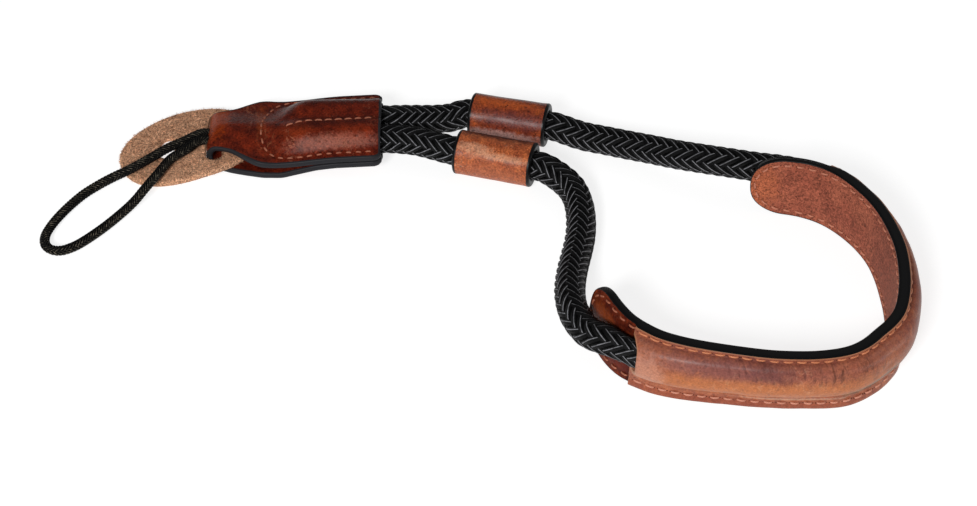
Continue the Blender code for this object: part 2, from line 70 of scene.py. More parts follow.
def smoothPoints(points, perSpan=12):
    # A smooth curve through every point, its tangents taken from the neighbours
    points = [Vector(point) for point in points]
    padded = [2 * points[0] - points[1], *points, 2 * points[-1] - points[-2]]
    curve = []
    for first, second, third, fourth in zip(padded, padded[1:], padded[2:], padded[3:]):
        reach = (third - second).length
        startPull = (third - first).normalized() * reach
        endPull = (fourth - second).normalized() * reach
        for step in range(perSpan):
            t = step / perSpan
            curve.append(
                (2 * t**3 - 3 * t**2 + 1) * second + (t**3 - 2 * t**2 + t) * startPull
                + (3 * t**2 - 2 * t**3) * third + (t**3 - t**2) * endPull
            )
    return curve + [points[-1]]


def pathLengths(points):
    lengths = [0.0]
    for start, end in zip(points, points[1:]):
        lengths.append(lengths[-1] + (end - start).length)
    return lengths


def evenPoints(points, spacing):
    # The same route with points at even distances
    lengths = pathLengths(points)
    marks = np.linspace(0.0, lengths[-1], max(2, round(lengths[-1] / spacing)) + 1)
    return [Vector(spot) for spot in zip(*(np.interp(marks, lengths, [p[axis] for p in points]) for axis in range(3)))]


def softColumn(marks, rowMarks, rowValues, spread):
    # A table's column read at many marks, with its corners softened over the spread
    reach = max(1, int(round(spread / (marks[1] - marks[0]))))
    window = np.hanning(2 * reach + 3)[1:-1]
    padded = np.pad(np.interp(marks, rowMarks, rowValues), reach, mode="edge")
    return np.convolve(padded, window / window.sum(), mode="valid")


def uneven(points, waves):
    # Gentle bumps over a grid of points; each wave has a size, a seed and a height
    total = 0.0
    for size, seed, height in waves:
        places = points.reshape(-1, 3) / (size * mm) + seed
        bumps = np.array([noise.noise(Vector(place)) for place in places]).reshape(points.shape[:-1])
        total = total + bumps * height * mm
    return total


def turned(x, y, z, place):
    # Points in a piece's own directions, set down where that piece lies
    cos, sin = math.cos(place["turn"]), math.sin(place["turn"])
    x, y, z = np.broadcast_arrays(x, y, z)
    return np.stack((place["x"] + x * cos - y * sin, place["y"] + x * sin + y * cos, z), axis=-1)


def seenColour(seen):
    # A colour as a screen shows it, from 0 to 255, turned into the linear one that shaders take
    shares = [value / 255 for value in seen]
    return (*(s / 12.92 if s <= 0.04045 else ((s + 0.055) / 1.055) ** 2.4 for s in shares), 1.0)


def showObject(name, data):
    made = bpy.data.objects.new(name, data)
    bpy.context.scene.collection.objects.link(made)
    return made


def newFinish(name, plain):
    # A material, its node tree and its shader, with plain values by socket
    finish = bpy.data.materials.new(name)
    finish.use_nodes = True
    shader = finish.node_tree.nodes["Principled BSDF"]
    for label, value in plain.items():
        shader.inputs[label].default_value = value
    return finish, finish.node_tree, shader


# Camera, floor and light

view = {"elevation": math.radians(43.0), "distance": 0.6, "focalPixels": 2160.0, "imageWidth": 977, "sensor": 36.0}
studio = {
    "floorSize": 6.0, "floorLow": -0.2 * mm, "worldStrength": 0.22, "floorGlow": 0.78, "floorTone": 0.38,
    "lamps": (
        # name, place, width, watts
        ("key_light", (-0.32, -0.92, 0.68), 0.26, 10.9),
        ("back_light", (0.25, 0.70, 0.95), 0.55, 0.4),
        ("side_light", (0.95, -0.10, 0.55), 0.30, 1.0),
    ),
}
white = (1.0, 1.0, 1.0, 1.0)


def placeCamera():
    lens = bpy.data.cameras.new("photo_camera")
    lens.sensor_width = view["sensor"]
    lens.lens = view["focalPixels"] / view["imageWidth"] * view["sensor"]
    lens.clip_start, lens.clip_end = 0.01, 20.0
    camera = showObject("photo_camera", lens)
    back = Vector((0.0, -math.cos(view["elevation"]), math.sin(view["elevation"])))
    camera.location = planShift + back * view["distance"]
    camera.rotation_euler = (math.pi / 2 - view["elevation"], 0.0, 0.0)
    bpy.context.scene.camera = camera


def buildStudio():
    half, low, tone = studio["floorSize"] / 2, studio["floorLow"], studio["floorTone"]
    corners = [(-half, -half, low), (half, -half, low), (half, half, low), (-half, half, low)]
    mesh = bpy.data.meshes.new("studio_floor")
    mesh.from_pydata(corners, [], [(0, 1, 2, 3)])
    mesh.materials.append(newFinish("studio_paper", {
        "Base Color": (tone, tone, tone, 1.0), "Roughness": 0.9, "Specular IOR Level": 0.0,
        "Emission Color": white, "Emission Strength": studio["floorGlow"]})[0])
    showObject("studio_floor", mesh)
    world = bpy.data.worlds.new("studio_world")
    world.use_nodes = True
    sky = world.node_tree.nodes["Background"].inputs
    sky["Color"].default_value, sky["Strength"].default_value = white, studio["worldStrength"]
    bpy.context.scene.world = world
    for name, place, width, watts in studio["lamps"]:
        light = bpy.data.lights.new(name, "AREA")
        light.size, light.energy = width, watts
        lamp = showObject(name, light)
        lamp.location = place
        lamp.rotation_euler = (-Vector(place)).to_track_quat("-Z", "Y").to_euler()
    bpy.context.scene.view_settings.view_transform = "Standard"


placeCamera()
buildStudio()
print("camera and studio placed")


# Node tools

class Wire:
    # One value in a node tree; sums and products of wires become math nodes there
    def __init__(self, socket):
        self.socket, self.tree = socket, socket.id_data

    def __add__(self, other):
        return reckon("ADD", self, other)

    def __radd__(self, other):
        return reckon("ADD", other, self)

    def __sub__(self, other):
        return reckon("SUBTRACT", self, other)

    def __rsub__(self, other):
        return reckon("SUBTRACT", other, self)

    def __mul__(self, other):
        return reckon("MULTIPLY", self, other)

    def __truediv__(self, other):
        return reckon("DIVIDE", self, other)

    def __rtruediv__(self, other):
        return reckon("DIVIDE", other, self)


def plug(tree, value, socket):
    # Joins a wire to a socket, or sets a plain value there
    if isinstance(value, Wire):
        tree.links.new(value.socket, socket)
    else:
        socket.default_value = value


def addNode(tree, kind, feeds=None, **settings):
    node = tree.nodes.new(kind)
    for key, value in settings.items():
        setattr(node, key, value)
    for key, value in (feeds or {}).items():
        plug(tree, value, node.inputs[key])
    node.location = (190 * (len(tree.nodes) % 12), -260 * (len(tree.nodes) // 12))
    return node


def nodeWire(tree, kind, feeds=None, output=0, **settings):
    return Wire(addNode(tree, kind, feeds, **settings).outputs[output])


def reckon(operation, *values, output=0):
    # A math node over wires and plain numbers, for vectors where one of them is a vector
    tree = next(value.tree for value in values if isinstance(value, Wire))
    kind = "ShaderNodeMath"
    if any(isinstance(v, tuple) or isinstance(v, Wire) and v.socket.type in ("VECTOR", "RGBA") for v in values):
        kind = "ShaderNodeVectorMath"
        values = [(value,) * 3 if isinstance(value, float) else value for value in values]
    return nodeWire(tree, kind, dict(enumerate(values)), output, operation=operation)


def noiseWire(place, scale, detail, roughness=0.5, distortion=0.0):
    return nodeWire(place.tree, "ShaderNodeTexNoise", {
        "Vector": place, "Scale": scale, "Detail": detail, "Roughness": roughness, "Distortion": distortion}, "Fac")


def cellWire(place, scale):
    return nodeWire(place.tree, "ShaderNodeTexVoronoi", {"Vector": place, "Scale": scale}, "Distance")


def span(value, low, high, least=0.0, most=1.0, kind="LINEAR"):
    return nodeWire(value.tree, "ShaderNodeMapRange", {
        "Value": value, "From Min": low, "From Max": high, "To Min": least, "To Max": most},
        "Result", interpolation_type=kind)


def blend(factor, first, second):
    return nodeWire(factor.tree, "ShaderNodeMix", {0: factor, 6: first, 7: second}, 2, data_type="RGBA")


def splitUp(vector):
    return [Wire(socket) for socket in addNode(vector.tree, "ShaderNodeSeparateXYZ", {0: vector}).outputs]


def joined(tree, x, y, z):
    return nodeWire(tree, "ShaderNodeCombineXYZ", {0: x, 1: y, 2: z})


def asTree(name, inputs, outputs, kind="ShaderNodeTree"):
    # Makes a node group of the function below it, which takes wires of the inputs and gives those of the outputs.
    # An input is named with its kind of socket, or with its starting value.
    def drawn(draw):
        tree = bpy.data.node_groups.new(name, kind)
        for label, start in inputs.items():
            plain = start if isinstance(start, str) else {float: "Float", int: "Int", tuple: "Vector"}[type(start)]
            socket = tree.interface.new_socket(name=label, in_out="INPUT", socket_type="NodeSocket" + plain)
            if plain != start:
                socket.default_value = start
        for label, plain in outputs.items():
            tree.interface.new_socket(name=label, in_out="OUTPUT", socket_type="NodeSocket" + plain)
        given = tree.nodes.new("NodeGroupInput").outputs
        results = draw(tree, *(Wire(given[label]) for label in inputs))
        ends = tree.nodes.new("NodeGroupOutput").inputs
        for label, result in zip(outputs, results if isinstance(results, tuple) else (results,)):
            plug(tree, result, ends[label])
        return tree
    return drawn


def placeGroup(tree, group, *feeds):
    # The wires of a group's outputs, or the wire itself where it has one
    outputs = [Wire(socket) for socket in
               addNode(tree, "ShaderNodeGroup", None, node_tree=group).outputs if socket.name]
    node = outputs[0].socket.node
    for value, socket in zip(feeds, node.inputs):
        plug(tree, value, socket)
    return outputs if len(outputs) > 1 else outputs[0]


def shapeOf(given):
    # The geometry of an object that is given to a tree
    return nodeWire(given.tree, "GeometryNodeObjectInfo", {"Object": given}, "Geometry")


def repeated(points, given, rotation, size):
    # The given shape at every point, as real faces
    laid = nodeWire(points.tree, "GeometryNodeInstanceOnPoints", {
        "Points": points, "Instance": shapeOf(given), "Rotation": rotation, "Scale": size}, "Instances")
    return nodeWire(points.tree, "GeometryNodeRealizeInstances", {"Geometry": laid}, "Geometry")


def dressed(geometry, material):
    # The end of a tree: smooth faces and their material
    smooth = nodeWire(geometry.tree, "GeometryNodeSetShadeSmooth", {"Geometry": geometry})
    return nodeWire(geometry.tree, "GeometryNodeSetMaterial", {"Geometry": smooth, "Material": material})


def runTree(name, tree, values, mesh=None):
    # Runs a Geometry Nodes tree on a host mesh and keeps the result as a plain mesh object
    host = showObject(name + "_host", mesh or bpy.data.meshes.new(name + "_host"))
    modifier = host.modifiers.new("pattern", "NODES")
    modifier.node_group = tree
    for socket in tree.interface.items_tree:
        if socket.in_out == "INPUT" and socket.name in values:
            modifier[socket.identifier] = values[socket.name]
    result = finishedMesh(host)
    result.name = name
    host.modifiers.remove(modifier)
    bpy.data.objects.remove(host)
    return showObject(name, result)


def finishedMesh(made):
    # The shape that an object's modifiers give, as a plain mesh
    bpy.context.view_layer.update()
    depsgraph = bpy.context.evaluated_depsgraph_get()
    return bpy.data.meshes.new_from_object(made.evaluated_get(depsgraph), depsgraph=depsgraph)


# Mesh tools

def ringFaces(rings, sides, loop=False, caps=False):
    # Quads between rings of points, listed ring by ring, with flat ends if asked for
    faces = []
    for ring in range(rings if loop else rings - 1):
        a, b = ring * sides, (ring + 1) % rings * sides
        faces += [(a + i, a + (i + 1) % sides, b + (i + 1) % sides, b + i) for i in range(sides)]
    if caps:
        count = rings * sides
        faces += [tuple(range(sides)), tuple(range(count - 1, count - sides - 1, -1))]
    return faces


def closedMesh(name, verts, faces, flat=None):
    # A mesh that faces outward, with its flat layout
    mesh = bpy.data.meshes.new(name)
    mesh.from_pydata(verts, [], faces)
    bm = bmesh.new()
    bm.from_mesh(mesh)
    bmesh.ops.recalc_face_normals(bm, faces=bm.faces)
    bm.to_mesh(mesh)
    bm.free()
    if flat is not None:
        layer = mesh.uv_layers.new(name="flat")
        order = np.zeros(len(mesh.loops), dtype=np.int32)
        mesh.loops.foreach_get("vertex_index", order)
        layer.data.foreach_set("uv", np.asarray(flat, dtype=np.float32)[order].ravel())
    return mesh


def makePiece(name, verts, faces, material, flat=None, toRim=None, smooth=True):
    # A piece from points on the plan, with its flat layout and its distance to the rim in millimetres
    mesh = closedMesh(name, (np.array(verts) + np.array(planShift)).tolist(), faces, flat)
    if toRim is not None:
        mark = mesh.attributes.new("toRim", "FLOAT", "POINT")
        mark.data.foreach_set("value", np.asarray(toRim, dtype=np.float32))
    if smooth:
        mesh.shade_smooth()
    mesh.materials.append(material)
    return showObject(name, mesh)


def carry(piece, node):
    # The piece rides with the strap and stands in for its solid
    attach(piece, "root")
    if node:
        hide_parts(node)


def leatherShell(name, outer, inner, flat, toRim, rimRound, material, rimSteps=5):
    # A sheet with two faces and a rounded rim: outer and inner are grids of points, row by row
    rows, cols = outer.shape[:2]
    count = rows * cols
    verts = [*outer.reshape(-1, 3), *inner.reshape(-1, 3)]
    flats = [*flat.reshape(-1, 2)] * 2
    rims = [*toRim.ravel()] * 2
    faces = []
    for a in (row * cols + col for row in range(rows - 1) for col in range(cols - 1)):
        faces.append((a, a + 1, a + cols + 1, a + cols))
        faces.append((count + a, count + a + cols, count + a + cols + 1, count + a + 1))
    border = [(0, col) for col in range(cols)] + [(row, cols - 1) for row in range(1, rows)]
    border += [(rows - 1, col) for col in range(cols - 2, -1, -1)] + [(row, 0) for row in range(rows - 2, 0, -1)]
    middles = np.array([(outer[at] + inner[at]) / 2 for at in border])
    halves = np.array([(outer[at] - inner[at]) / 2 for at in border])
    away = np.cross(np.roll(middles, -1, axis=0) - np.roll(middles, 1, axis=0), halves)
    away /= np.maximum(np.linalg.norm(away, axis=1, keepdims=True), 1e-12)
    probe = cols // 2
    if np.dot(away[probe], outer[0, probe] - outer[1, probe]) < 0:
        away = -away
    rings = [[row * cols + col for row, col in border]]
    for step in range(1, rimSteps):
        angle = math.pi * step / rimSteps
        rings.append(list(range(len(verts), len(verts) + len(border))))
        verts += list(middles + halves * math.cos(angle) + away * rimRound * math.sin(angle))
        flats += [flat[at] for at in border]
        rims += [-rimRound / mm * math.sin(angle)] * len(border)
    rings.append([count + row * cols + col for row, col in border])
    for ring, nextRing in zip(rings, rings[1:]):
        faces += zip(ring, nextRing, nextRing[1:] + nextRing[:1], ring[1:] + ring[:1])
    return makePiece(name, verts, faces, material, flats, rims)


# Shader groups that several finishes share; their sizes are in millimetres

@asTree("leatherGrain", {"Vector": "Vector", "Size": 0.5, "Pores": 0.4}, {"Height": "Float", "Shade": "Float"})
def leatherGrain(tree, vector, size, pores):
    # Fine pebbled grain with pores
    place = vector * (1000.0 / size)
    pebble = reckon("SMOOTH_MIN", cellWire(place, 1.0), 0.62, 0.3)
    rough = noiseWire(place, 1.5, 4.0, 0.62)
    sunk = span(noiseWire(place, 0.8, 2.0), 0.62, 0.7) * pores
    return pebble * -0.7 + rough - sunk, rough - sunk * 0.5


@asTree("unevenDye", {
    "Vector": "Vector", "Light": "Color", "Middle": "Color", "Dark": "Color", "Size": 8.0, "Dark Share": 0.4,
    "Speckle": 0.15}, {"Colour": "Color"})
def unevenDye(tree, vector, light, middle, dark, size, darkShare, speckle):
    # Three tones laid over each other in soft patches
    place = vector * (1000.0 / size)
    wide = noiseWire(place, 1.0, 3.0, 0.5, 0.15)
    deep = noiseWire(place + (7.3, 2.9, 4.1), 1.4, 6.0, 0.62, 0.25)
    fine = noiseWire(vector * 1900.0, 1.0, 2.0, 0.7)
    limit = 0.78 - darkShare * 0.5
    toned = blend(span(wide, 0.32, 0.72), middle, light)
    toned = blend(span(deep, limit - 0.22, limit + 0.14), toned, dark)
    return toned * ((fine - 0.5) * speckle * 4.0 + 1.0)


@asTree("edgePaintReach", {"Vector": "Vector", "To Rim": 5.0, "Width": 0.3, "Wander": 0.25}, {"Mask": "Float"})
def edgePaintReach(tree, vector, toRim, width, wander):
    # Where the edge paint reaches onto a face, with an uneven border
    waves = noiseWire(vector * 1000.0, 0.55, 4.0)
    return span(width + (waves - 0.5) * wander - toRim, -0.08, 0.08)


@asTree("rubbedMarks", {"Vector": "Vector", "Size": 4.0, "Amount": 0.3}, {"Mask": "Float"})
def rubbedMarks(tree, vector, size, amount):
    # Long fine scratches and rubbed marks
    place = vector * (1000.0 / size)
    thin = span(reckon("ABSOLUTE", noiseWire(place, 1.0, 3.0, 0.5, 0.3) - 0.5), 0.016, 0.0)
    return thin * span(noiseWire(place, 0.35, 2.0), 0.5, 0.75) * amount


@asTree("suedeNap", {"Vector": "Vector", "Size": 0.5, "Contrast": 0.5},
        {"Shade": "Float", "Height": "Float", "Specks": "Float"})
def suedeNap(tree, vector, size, contrast):
    # Clumped short fibres as light and dark specks
    place = vector * (1000.0 / size)
    fibres = noiseWire(place, 1.3, 3.0, 0.6, 0.8)
    clumps = noiseWire(place, 0.22, 3.0, 0.6)
    specks = span(cellWire(place, 1.1), 0.26, 0.1)
    shade = ((fibres - 0.5) * 2.2 + (clumps - 0.5) * 0.35) * contrast + 1.0
    return reckon("MAXIMUM", shade, 0.2), fibres - specks * 0.2, specks


@asTree("softSpot", {"Flat": "Vector", "Place": "Vector", "Centre": "Vector", "Reach": (1.0, 1.0, 1.0),
                     "Strength": 0.5}, {"Mask": "Float"})
def softSpot(tree, flat, place, centre, reach, strength):
    # One soft oval patch on the flat layout of a piece, its border broken up
    size = reckon("LENGTH", (flat - centre) / reach, output=1)
    rough = noiseWire(place * 1000.0, 0.7, 5.0, 0.65)
    return span(size + (rough - 0.5) * 1.5, 1.25, 0.35, kind="SMOOTHSTEP") * strength


@asTree("crossCreases", {"Flat": "Vector", "Spacing": 1.2, "Run": 7.0, "Seed": 0.0}, {"Mask": "Float"})
def crossCreases(tree, flat, spacing, run, seed):
    # Short creases that run across the piece on its flat layout
    along, across, up = splitUp(flat)
    place = joined(tree, along / spacing, across / run, seed)
    return span(noiseWire(place, 1.0, 4.0, 0.6, 0.4), 0.5, 0.66)


@asTree("yarnLines", {"Vector": "Vector", "Lines": 14.0, "Twist": 2.0, "Ridge Width": 0.05, "Ridge At": 0.55},
        {"Height": "Float", "Shade": "Float", "Ridge": "Float"})
def yarnLines(tree, layout, lines, twist, ridgeWidth, ridgeAt):
    # Fine filaments running along a strand, read across its width, and a painted highlight line along its ridge
    along, across, up = splitUp(layout)
    ripple = reckon("SINE", (across * lines + along * twist) * (2 * math.pi))
    line = span(reckon("ABSOLUTE", across - ridgeAt), ridgeWidth, ridgeWidth * 0.35)
    fade = span(reckon("MINIMUM", along, 1.0 - along), 0.03, 0.12)
    return ripple * 0.5 + 0.5, ripple * 0.18 + 0.9, line * fade


# Finishes: a look is a table of plain values, with colours as a screen shows them and depths in millimetres

edgeBlack, edgeRoughness = (3, 3, 4), 0.42


def layouts(tree):
    # Where a point lies in space, and on the flat layout of its piece
    place = nodeWire(tree, "ShaderNodeTexCoord", output="Object")
    return place, nodeWire(tree, "ShaderNodeUVMap", uv_map="flat")


def spotMask(tree, place, flat, along, across, reachAlong, reachAcross, strength):
    return placeGroup(tree, softSpot, flat, place, (along, across, 0.0), (reachAlong, reachAcross, 1.0), strength)


def dyeAndPaintedLight(tree, place, flat, look):
    # Uneven dye under the table of soft patches, among which are painted highlights and painted shade
    tones = (seenColour(look[key]) for key in ("light", "middle", "dark"))
    colour = placeGroup(tree, unevenDye, place, *tones, look["patchSize"], look["darkShare"], look["speckle"])
    for *spot, tone in look.get("spots", ()):
        colour = blend(spotMask(tree, place, flat, *spot), colour, seenColour(tone))
    return colour


def paintRim(tree, shader, place, look, colour):
    # Lays the paint over the rim and gives back where it lies
    rim = nodeWire(tree, "ShaderNodeAttribute", None, "Fac", attribute_name="toRim")
    paint = placeGroup(tree, edgePaintReach, place, rim, look["paintWidth"], look.get("paintWander", 0.3))
    plug(tree, blend(paint, colour, seenColour(look.get("paintColour", edgeBlack))), shader.inputs["Base Color"])
    return paint


def addBump(tree, shader, height, strength, depth):
    bump = nodeWire(tree, "ShaderNodeBump", {"Strength": strength, "Distance": depth * mm, "Height": height})
    plug(tree, bump, shader.inputs["Normal"])


def leatherFinish(name, look):
    # Dyed smooth leather with grain, rubbed marks, creases and edge paint; some looks also list painted highlights and
    # painted shade among their spots
    finish, tree, shader = newFinish(name, {
        "Roughness": look["roughness"], "Specular IOR Level": look.get("specular", 0.15),
        "Coat Weight": look.get("coat", 0.0), "Coat Roughness": look.get("coatRoughness", 0.25)})
    place, flat = layouts(tree)
    height, shade = placeGroup(tree, leatherGrain, place, look["grainSize"], look["pores"])
    scuffs = placeGroup(tree, rubbedMarks, place, look["scuffSize"], look["scuffs"])
    colour = dyeAndPaintedLight(tree, place, flat, look)
    folds = 0.0
    for *spot, tone, spacing, run in look.get("creases", ()):
        lines = placeGroup(tree, crossCreases, flat, spacing, run, spot[0])
        zone = spotMask(tree, place, flat, *spot) * lines
        colour = blend(zone, colour, seenColour(tone))
        folds = zone + folds
    colour = blend(scuffs, colour, seenColour(look["scuffColour"])) * ((shade - 0.5) * look["grainShade"] + 1.0)
    paint = paintRim(tree, shader, place, look, colour)
    gloss = (shade - 0.5) * look["glossSpread"] + look["roughness"]
    gloss = nodeWire(tree, "ShaderNodeMix", {0: paint, 2: gloss, 3: edgeRoughness})
    plug(tree, gloss, shader.inputs["Roughness"])
    relief = (height - scuffs * 0.8 - folds * 1.6) * (1.0 - paint * 0.75)
    addBump(tree, shader, relief, look["bump"], look["bumpDepth"])
    return finish


def suedeFinish(name, look):
    # Matt leather with a raised nap
    finish, tree, shader = newFinish(name, {
        "Roughness": 0.95, "Specular IOR Level": 0.15, "Sheen Weight": look["sheen"], "Sheen Roughness": 0.5,
        "Sheen Tint": seenColour(look["sheenTint"])})
    place, flat = layouts(tree)
    shade, height, specks = placeGroup(tree, suedeNap, place, look["napSize"], look["contrast"])
    colour = dyeAndPaintedLight(tree, place, flat, look) * shade
    colour = blend(specks * look["specks"], colour, seenColour(look["speckColour"]))
    paintRim(tree, shader, place, look, colour)
    addBump(tree, shader, height, look["bump"], look["bumpDepth"])
    return finish


def yarnFinish(name, look):
    # Braided or twisted yarn with fine filaments, on the strand's own layout
    finish, tree, shader = newFinish(name, {"Roughness": look["roughness"], "Specular IOR Level": look["specular"]})
    place, flat = layouts(tree)
    height, shade, ridge = placeGroup(tree, yarnLines, flat, look["lines"], look["twist"], look.get("ridgeWidth", 0.0))
    lint = noiseWire(place, look["lintScale"], 3.0)
    colour = blend(lint, seenColour(look["dark"]), seenColour(look["light"])) * shade
    # The ridge colour is a painted highlight: a light line along each strand, broken up by the lint noise
    if "ridge" in look:
        low, high, least = look["glintBreakup"]
        colour = blend(ridge * span(lint, low, high, least), colour, seenColour(look["ridge"]))
    plug(tree, colour, shader.inputs["Base Color"])
    plug(tree, lint * look["glossSpread"] + look["roughness"], shader.inputs["Roughness"])
    addBump(tree, shader, height, look["bump"], look["bumpDepth"])
    return finish


# In rope and cord alike, the ridge colour is the painted highlight line on every strand
ropeBlack = yarnFinish("rope_black", {
    "dark": (4, 4, 5), "light": (9, 9, 10), "ridge": (132, 132, 136), "ridgeWidth": 0.032, "roughness": 0.45,
    "glossSpread": 0.2, "specular": 0.1, "lines": 13.0, "twist": 0.8, "lintScale": 900.0, "glintBreakup": (0.3, 0.6, 0.35),
    "bump": 1.0, "bumpDepth": 0.08,
})
cordBlack = yarnFinish("cord_black", {
    "dark": (2, 2, 3), "light": (9, 9, 10), "ridge": (112, 104, 90), "ridgeWidth": 0.075, "roughness": 0.5,
    "glossSpread": 0.2, "specular": 0.08, "lines": 6.0, "twist": 0.5, "lintScale": 1300.0,
    "glintBreakup": (0.48, 0.64, 0.12), "bump": 0.35, "bumpDepth": 0.03,
})
waxedThread, orangeThread, suedeThread, dullThread = (
    yarnFinish("thread_" + name, {
        "dark": dark, "light": light, "roughness": 0.5, "glossSpread": 0.1, "specular": 0.4, "lines": 3.0,
        "twist": 4.0, "lintScale": 700.0, "bump": 0.6, "bumpDepth": 0.05})
    for name, dark, light in (
        ("waxed", (176, 106, 82), (222, 156, 130)), ("orange", (176, 98, 62), (220, 142, 100)),
        ("suede", (166, 94, 70), (204, 132, 104)), ("dull", (122, 60, 40), (190, 116, 86)))
)

# spots: along, across, reach along, reach across, strength, colour, on the flat layout in millimetres; some spots are
# painted highlights and painted shade, marked where they stand
# creases: the same, then the spacing and the run of the lines
liningSuede = suedeFinish("suede_lining", {
    "light": (152, 86, 64), "middle": (137, 73, 55), "dark": (118, 61, 46), "patchSize": 9.0, "darkShare": 0.35,
    "speckle": 0.2, "napSize": 0.8, "contrast": 1.5, "specks": 0.35, "speckColour": (96, 48, 38), "sheen": 0.1,
    "sheenTint": (220, 170, 150), "paintWidth": 0.1, "paintColour": (20, 19, 20), "bump": 0.6, "bumpDepth": 0.14,
    "spots": (
        (3, 10, 6, 9, 0.5, (178, 98, 62)), (28, 6, 14, 4, 0.3, (128, 68, 54)),
        (60, 10, 22, 12, 0.6, (116, 60, 47)),
    ),
})
tanSuede = suedeFinish("suede_tan", {
    "light": (216, 170, 136), "middle": (198, 150, 118), "dark": (168, 122, 92), "patchSize": 2.6,
    "darkShare": 0.45, "speckle": 0.4, "napSize": 0.6, "contrast": 2.2, "specks": 0.45,
    "speckColour": (118, 76, 50), "sheen": 0.12, "sheenTint": (240, 215, 190), "paintWidth": -5.0,
    "paintColour": (180, 130, 95), "bump": 0.9, "bumpDepth": 0.25,
})
stripLeather = leatherFinish("leather_strip", {
    "light": (134, 56, 26), "middle": (92, 30, 17), "dark": (56, 17, 12), "patchSize": 4.0, "darkShare": 0.5,
    "speckle": 0.45, "grainSize": 0.85, "pores": 0.3, "grainShade": 1.4, "scuffSize": 5.0, "scuffs": 0.35,
    "scuffColour": (176, 120, 96), "paintWidth": 0.15, "roughness": 0.42, "glossSpread": 0.4, "bump": 0.5,
    "bumpDepth": 0.08, "specular": 0.08,
    "spots": ((165, 12, 7, 4, 0.6, (160, 74, 34)), (158, 5, 8, 4, 0.6, (84, 26, 18))),
})
coverLeather = leatherFinish("leather_cognac", {
    "light": (174, 104, 70), "middle": (150, 84, 58), "dark": (120, 66, 54), "patchSize": 3.6, "darkShare": 0.3,
    "speckle": 0.3, "grainSize": 0.8, "pores": 0.4, "grainShade": 1.2, "scuffSize": 6.0, "scuffs": 0.3,
    "scuffColour": (205, 155, 125), "paintWidth": 0.0, "paintColour": (166, 112, 82), "paintWander": 0.05,
    "roughness": 0.42, "glossSpread": 0.35, "bump": 0.55, "bumpDepth": 0.1, "coat": 0.06,
    "spots": (
        # (122, 17.2) is a painted reflection: a purplish band along the upper slope of the bulge
        (122, 17.2, 50, 3.4, 0.55, (128, 72, 62)), (120, 9.8, 46, 5.0, 0.8, (174, 102, 56)),
        (132, 16.4, 12, 2.8, 0.65, (116, 68, 66)), (120, 16.6, 6, 2.8, 0.75, (100, 56, 54)),
        (143, 16.4, 5, 2.4, 0.4, (132, 84, 76)), (150.5, 11, 4.5, 7, 0.6, (182, 130, 110)),
        # (124, 1.6) is painted shade: darker along the lower flange under the bulge
        (124, 1.6, 44, 1.9, 0.75, (132, 64, 44)), (92, 5, 9, 1.1, 0.75, (92, 86, 62)),
        # (112, 4.0) is a painted highlight: a thin light line along the foot of the bulge
        (91, 8.6, 10, 0.8, 0.75, (92, 84, 60)), (112, 4.0, 15, 0.5, 0.6, (184, 146, 122)),
        (70, 12, 15, 8, 0.65, (116, 58, 48)), (40, 10, 16, 9, 0.4, (140, 76, 56)),
    ),
    "creases": (
        (103, 16, 9, 4.5, 0.9, (88, 46, 32), 1.0, 5.0), (121, 16.6, 16, 3.6, 0.85, (94, 50, 44), 1.2, 4.0),
        (90, 12, 10, 7, 0.5, (104, 66, 46), 1.3, 4.0), (139, 16, 10, 4.0, 0.5, (112, 66, 58), 1.6, 5.0),
        (118, 12, 20, 3.5, 0.4, (200, 140, 100), 1.6, 3.0),
    ),
})
connectorLeather = leatherFinish("leather_dark", {
    "light": (128, 44, 20), "middle": (96, 29, 15), "dark": (64, 18, 11), "patchSize": 4.0, "darkShare": 0.5,
    "speckle": 0.45, "grainSize": 0.8, "pores": 0.4, "grainShade": 2.0, "scuffSize": 4.0, "scuffs": 0.8,
    # The connector's edge paint is black; its grey here is a painted sheen along the edges
    "scuffColour": (166, 104, 78), "paintWidth": 0.35, "paintColour": (38, 38, 41), "roughness": 0.33,
    "glossSpread": 0.6, "bump": 0.9, "bumpDepth": 0.13, "coat": 0.03, "coatRoughness": 0.3, "specular": 0.06,
    "spots": (
        (48.5, 16, 4.5, 14, 0.85, (156, 60, 14)), (35.0, 18, 1.7, 9, 0.5, (146, 62, 22)),
        (41, 18, 3, 10, 0.5, (80, 22, 11)), (24, 10, 6, 3, 0.4, (136, 52, 22)),
        (8, 8, 6, 4, 0.4, (120, 42, 18)), (14, 22, 12, 2.5, 0.5, (52, 14, 8)),
        # (13, 5.5) is a painted highlight low on the near hump; (17, 11.5) is painted shade in the stitched valley
        # between the humps
        (13, 5.5, 15, 2.6, 0.5, (160, 96, 78)), (17, 11.5, 14, 1.8, 0.55, (50, 13, 8)),
    ),
    "creases": (
        (38.5, 18, 3.5, 9, 0.75, (142, 78, 54), 0.9, 3.0), (33.0, 8, 3.0, 6, 0.5, (150, 86, 56), 0.8, 2.0),
    ),
})
sliderLook = {
    "patchSize": 3.0, "speckle": 0.55, "grainSize": 0.75, "scuffSize": 4.0, "scuffs": 0.3, "paintWidth": 0.3,
    "glossSpread": 0.4, "bump": 0.8, "bumpDepth": 0.1,
}
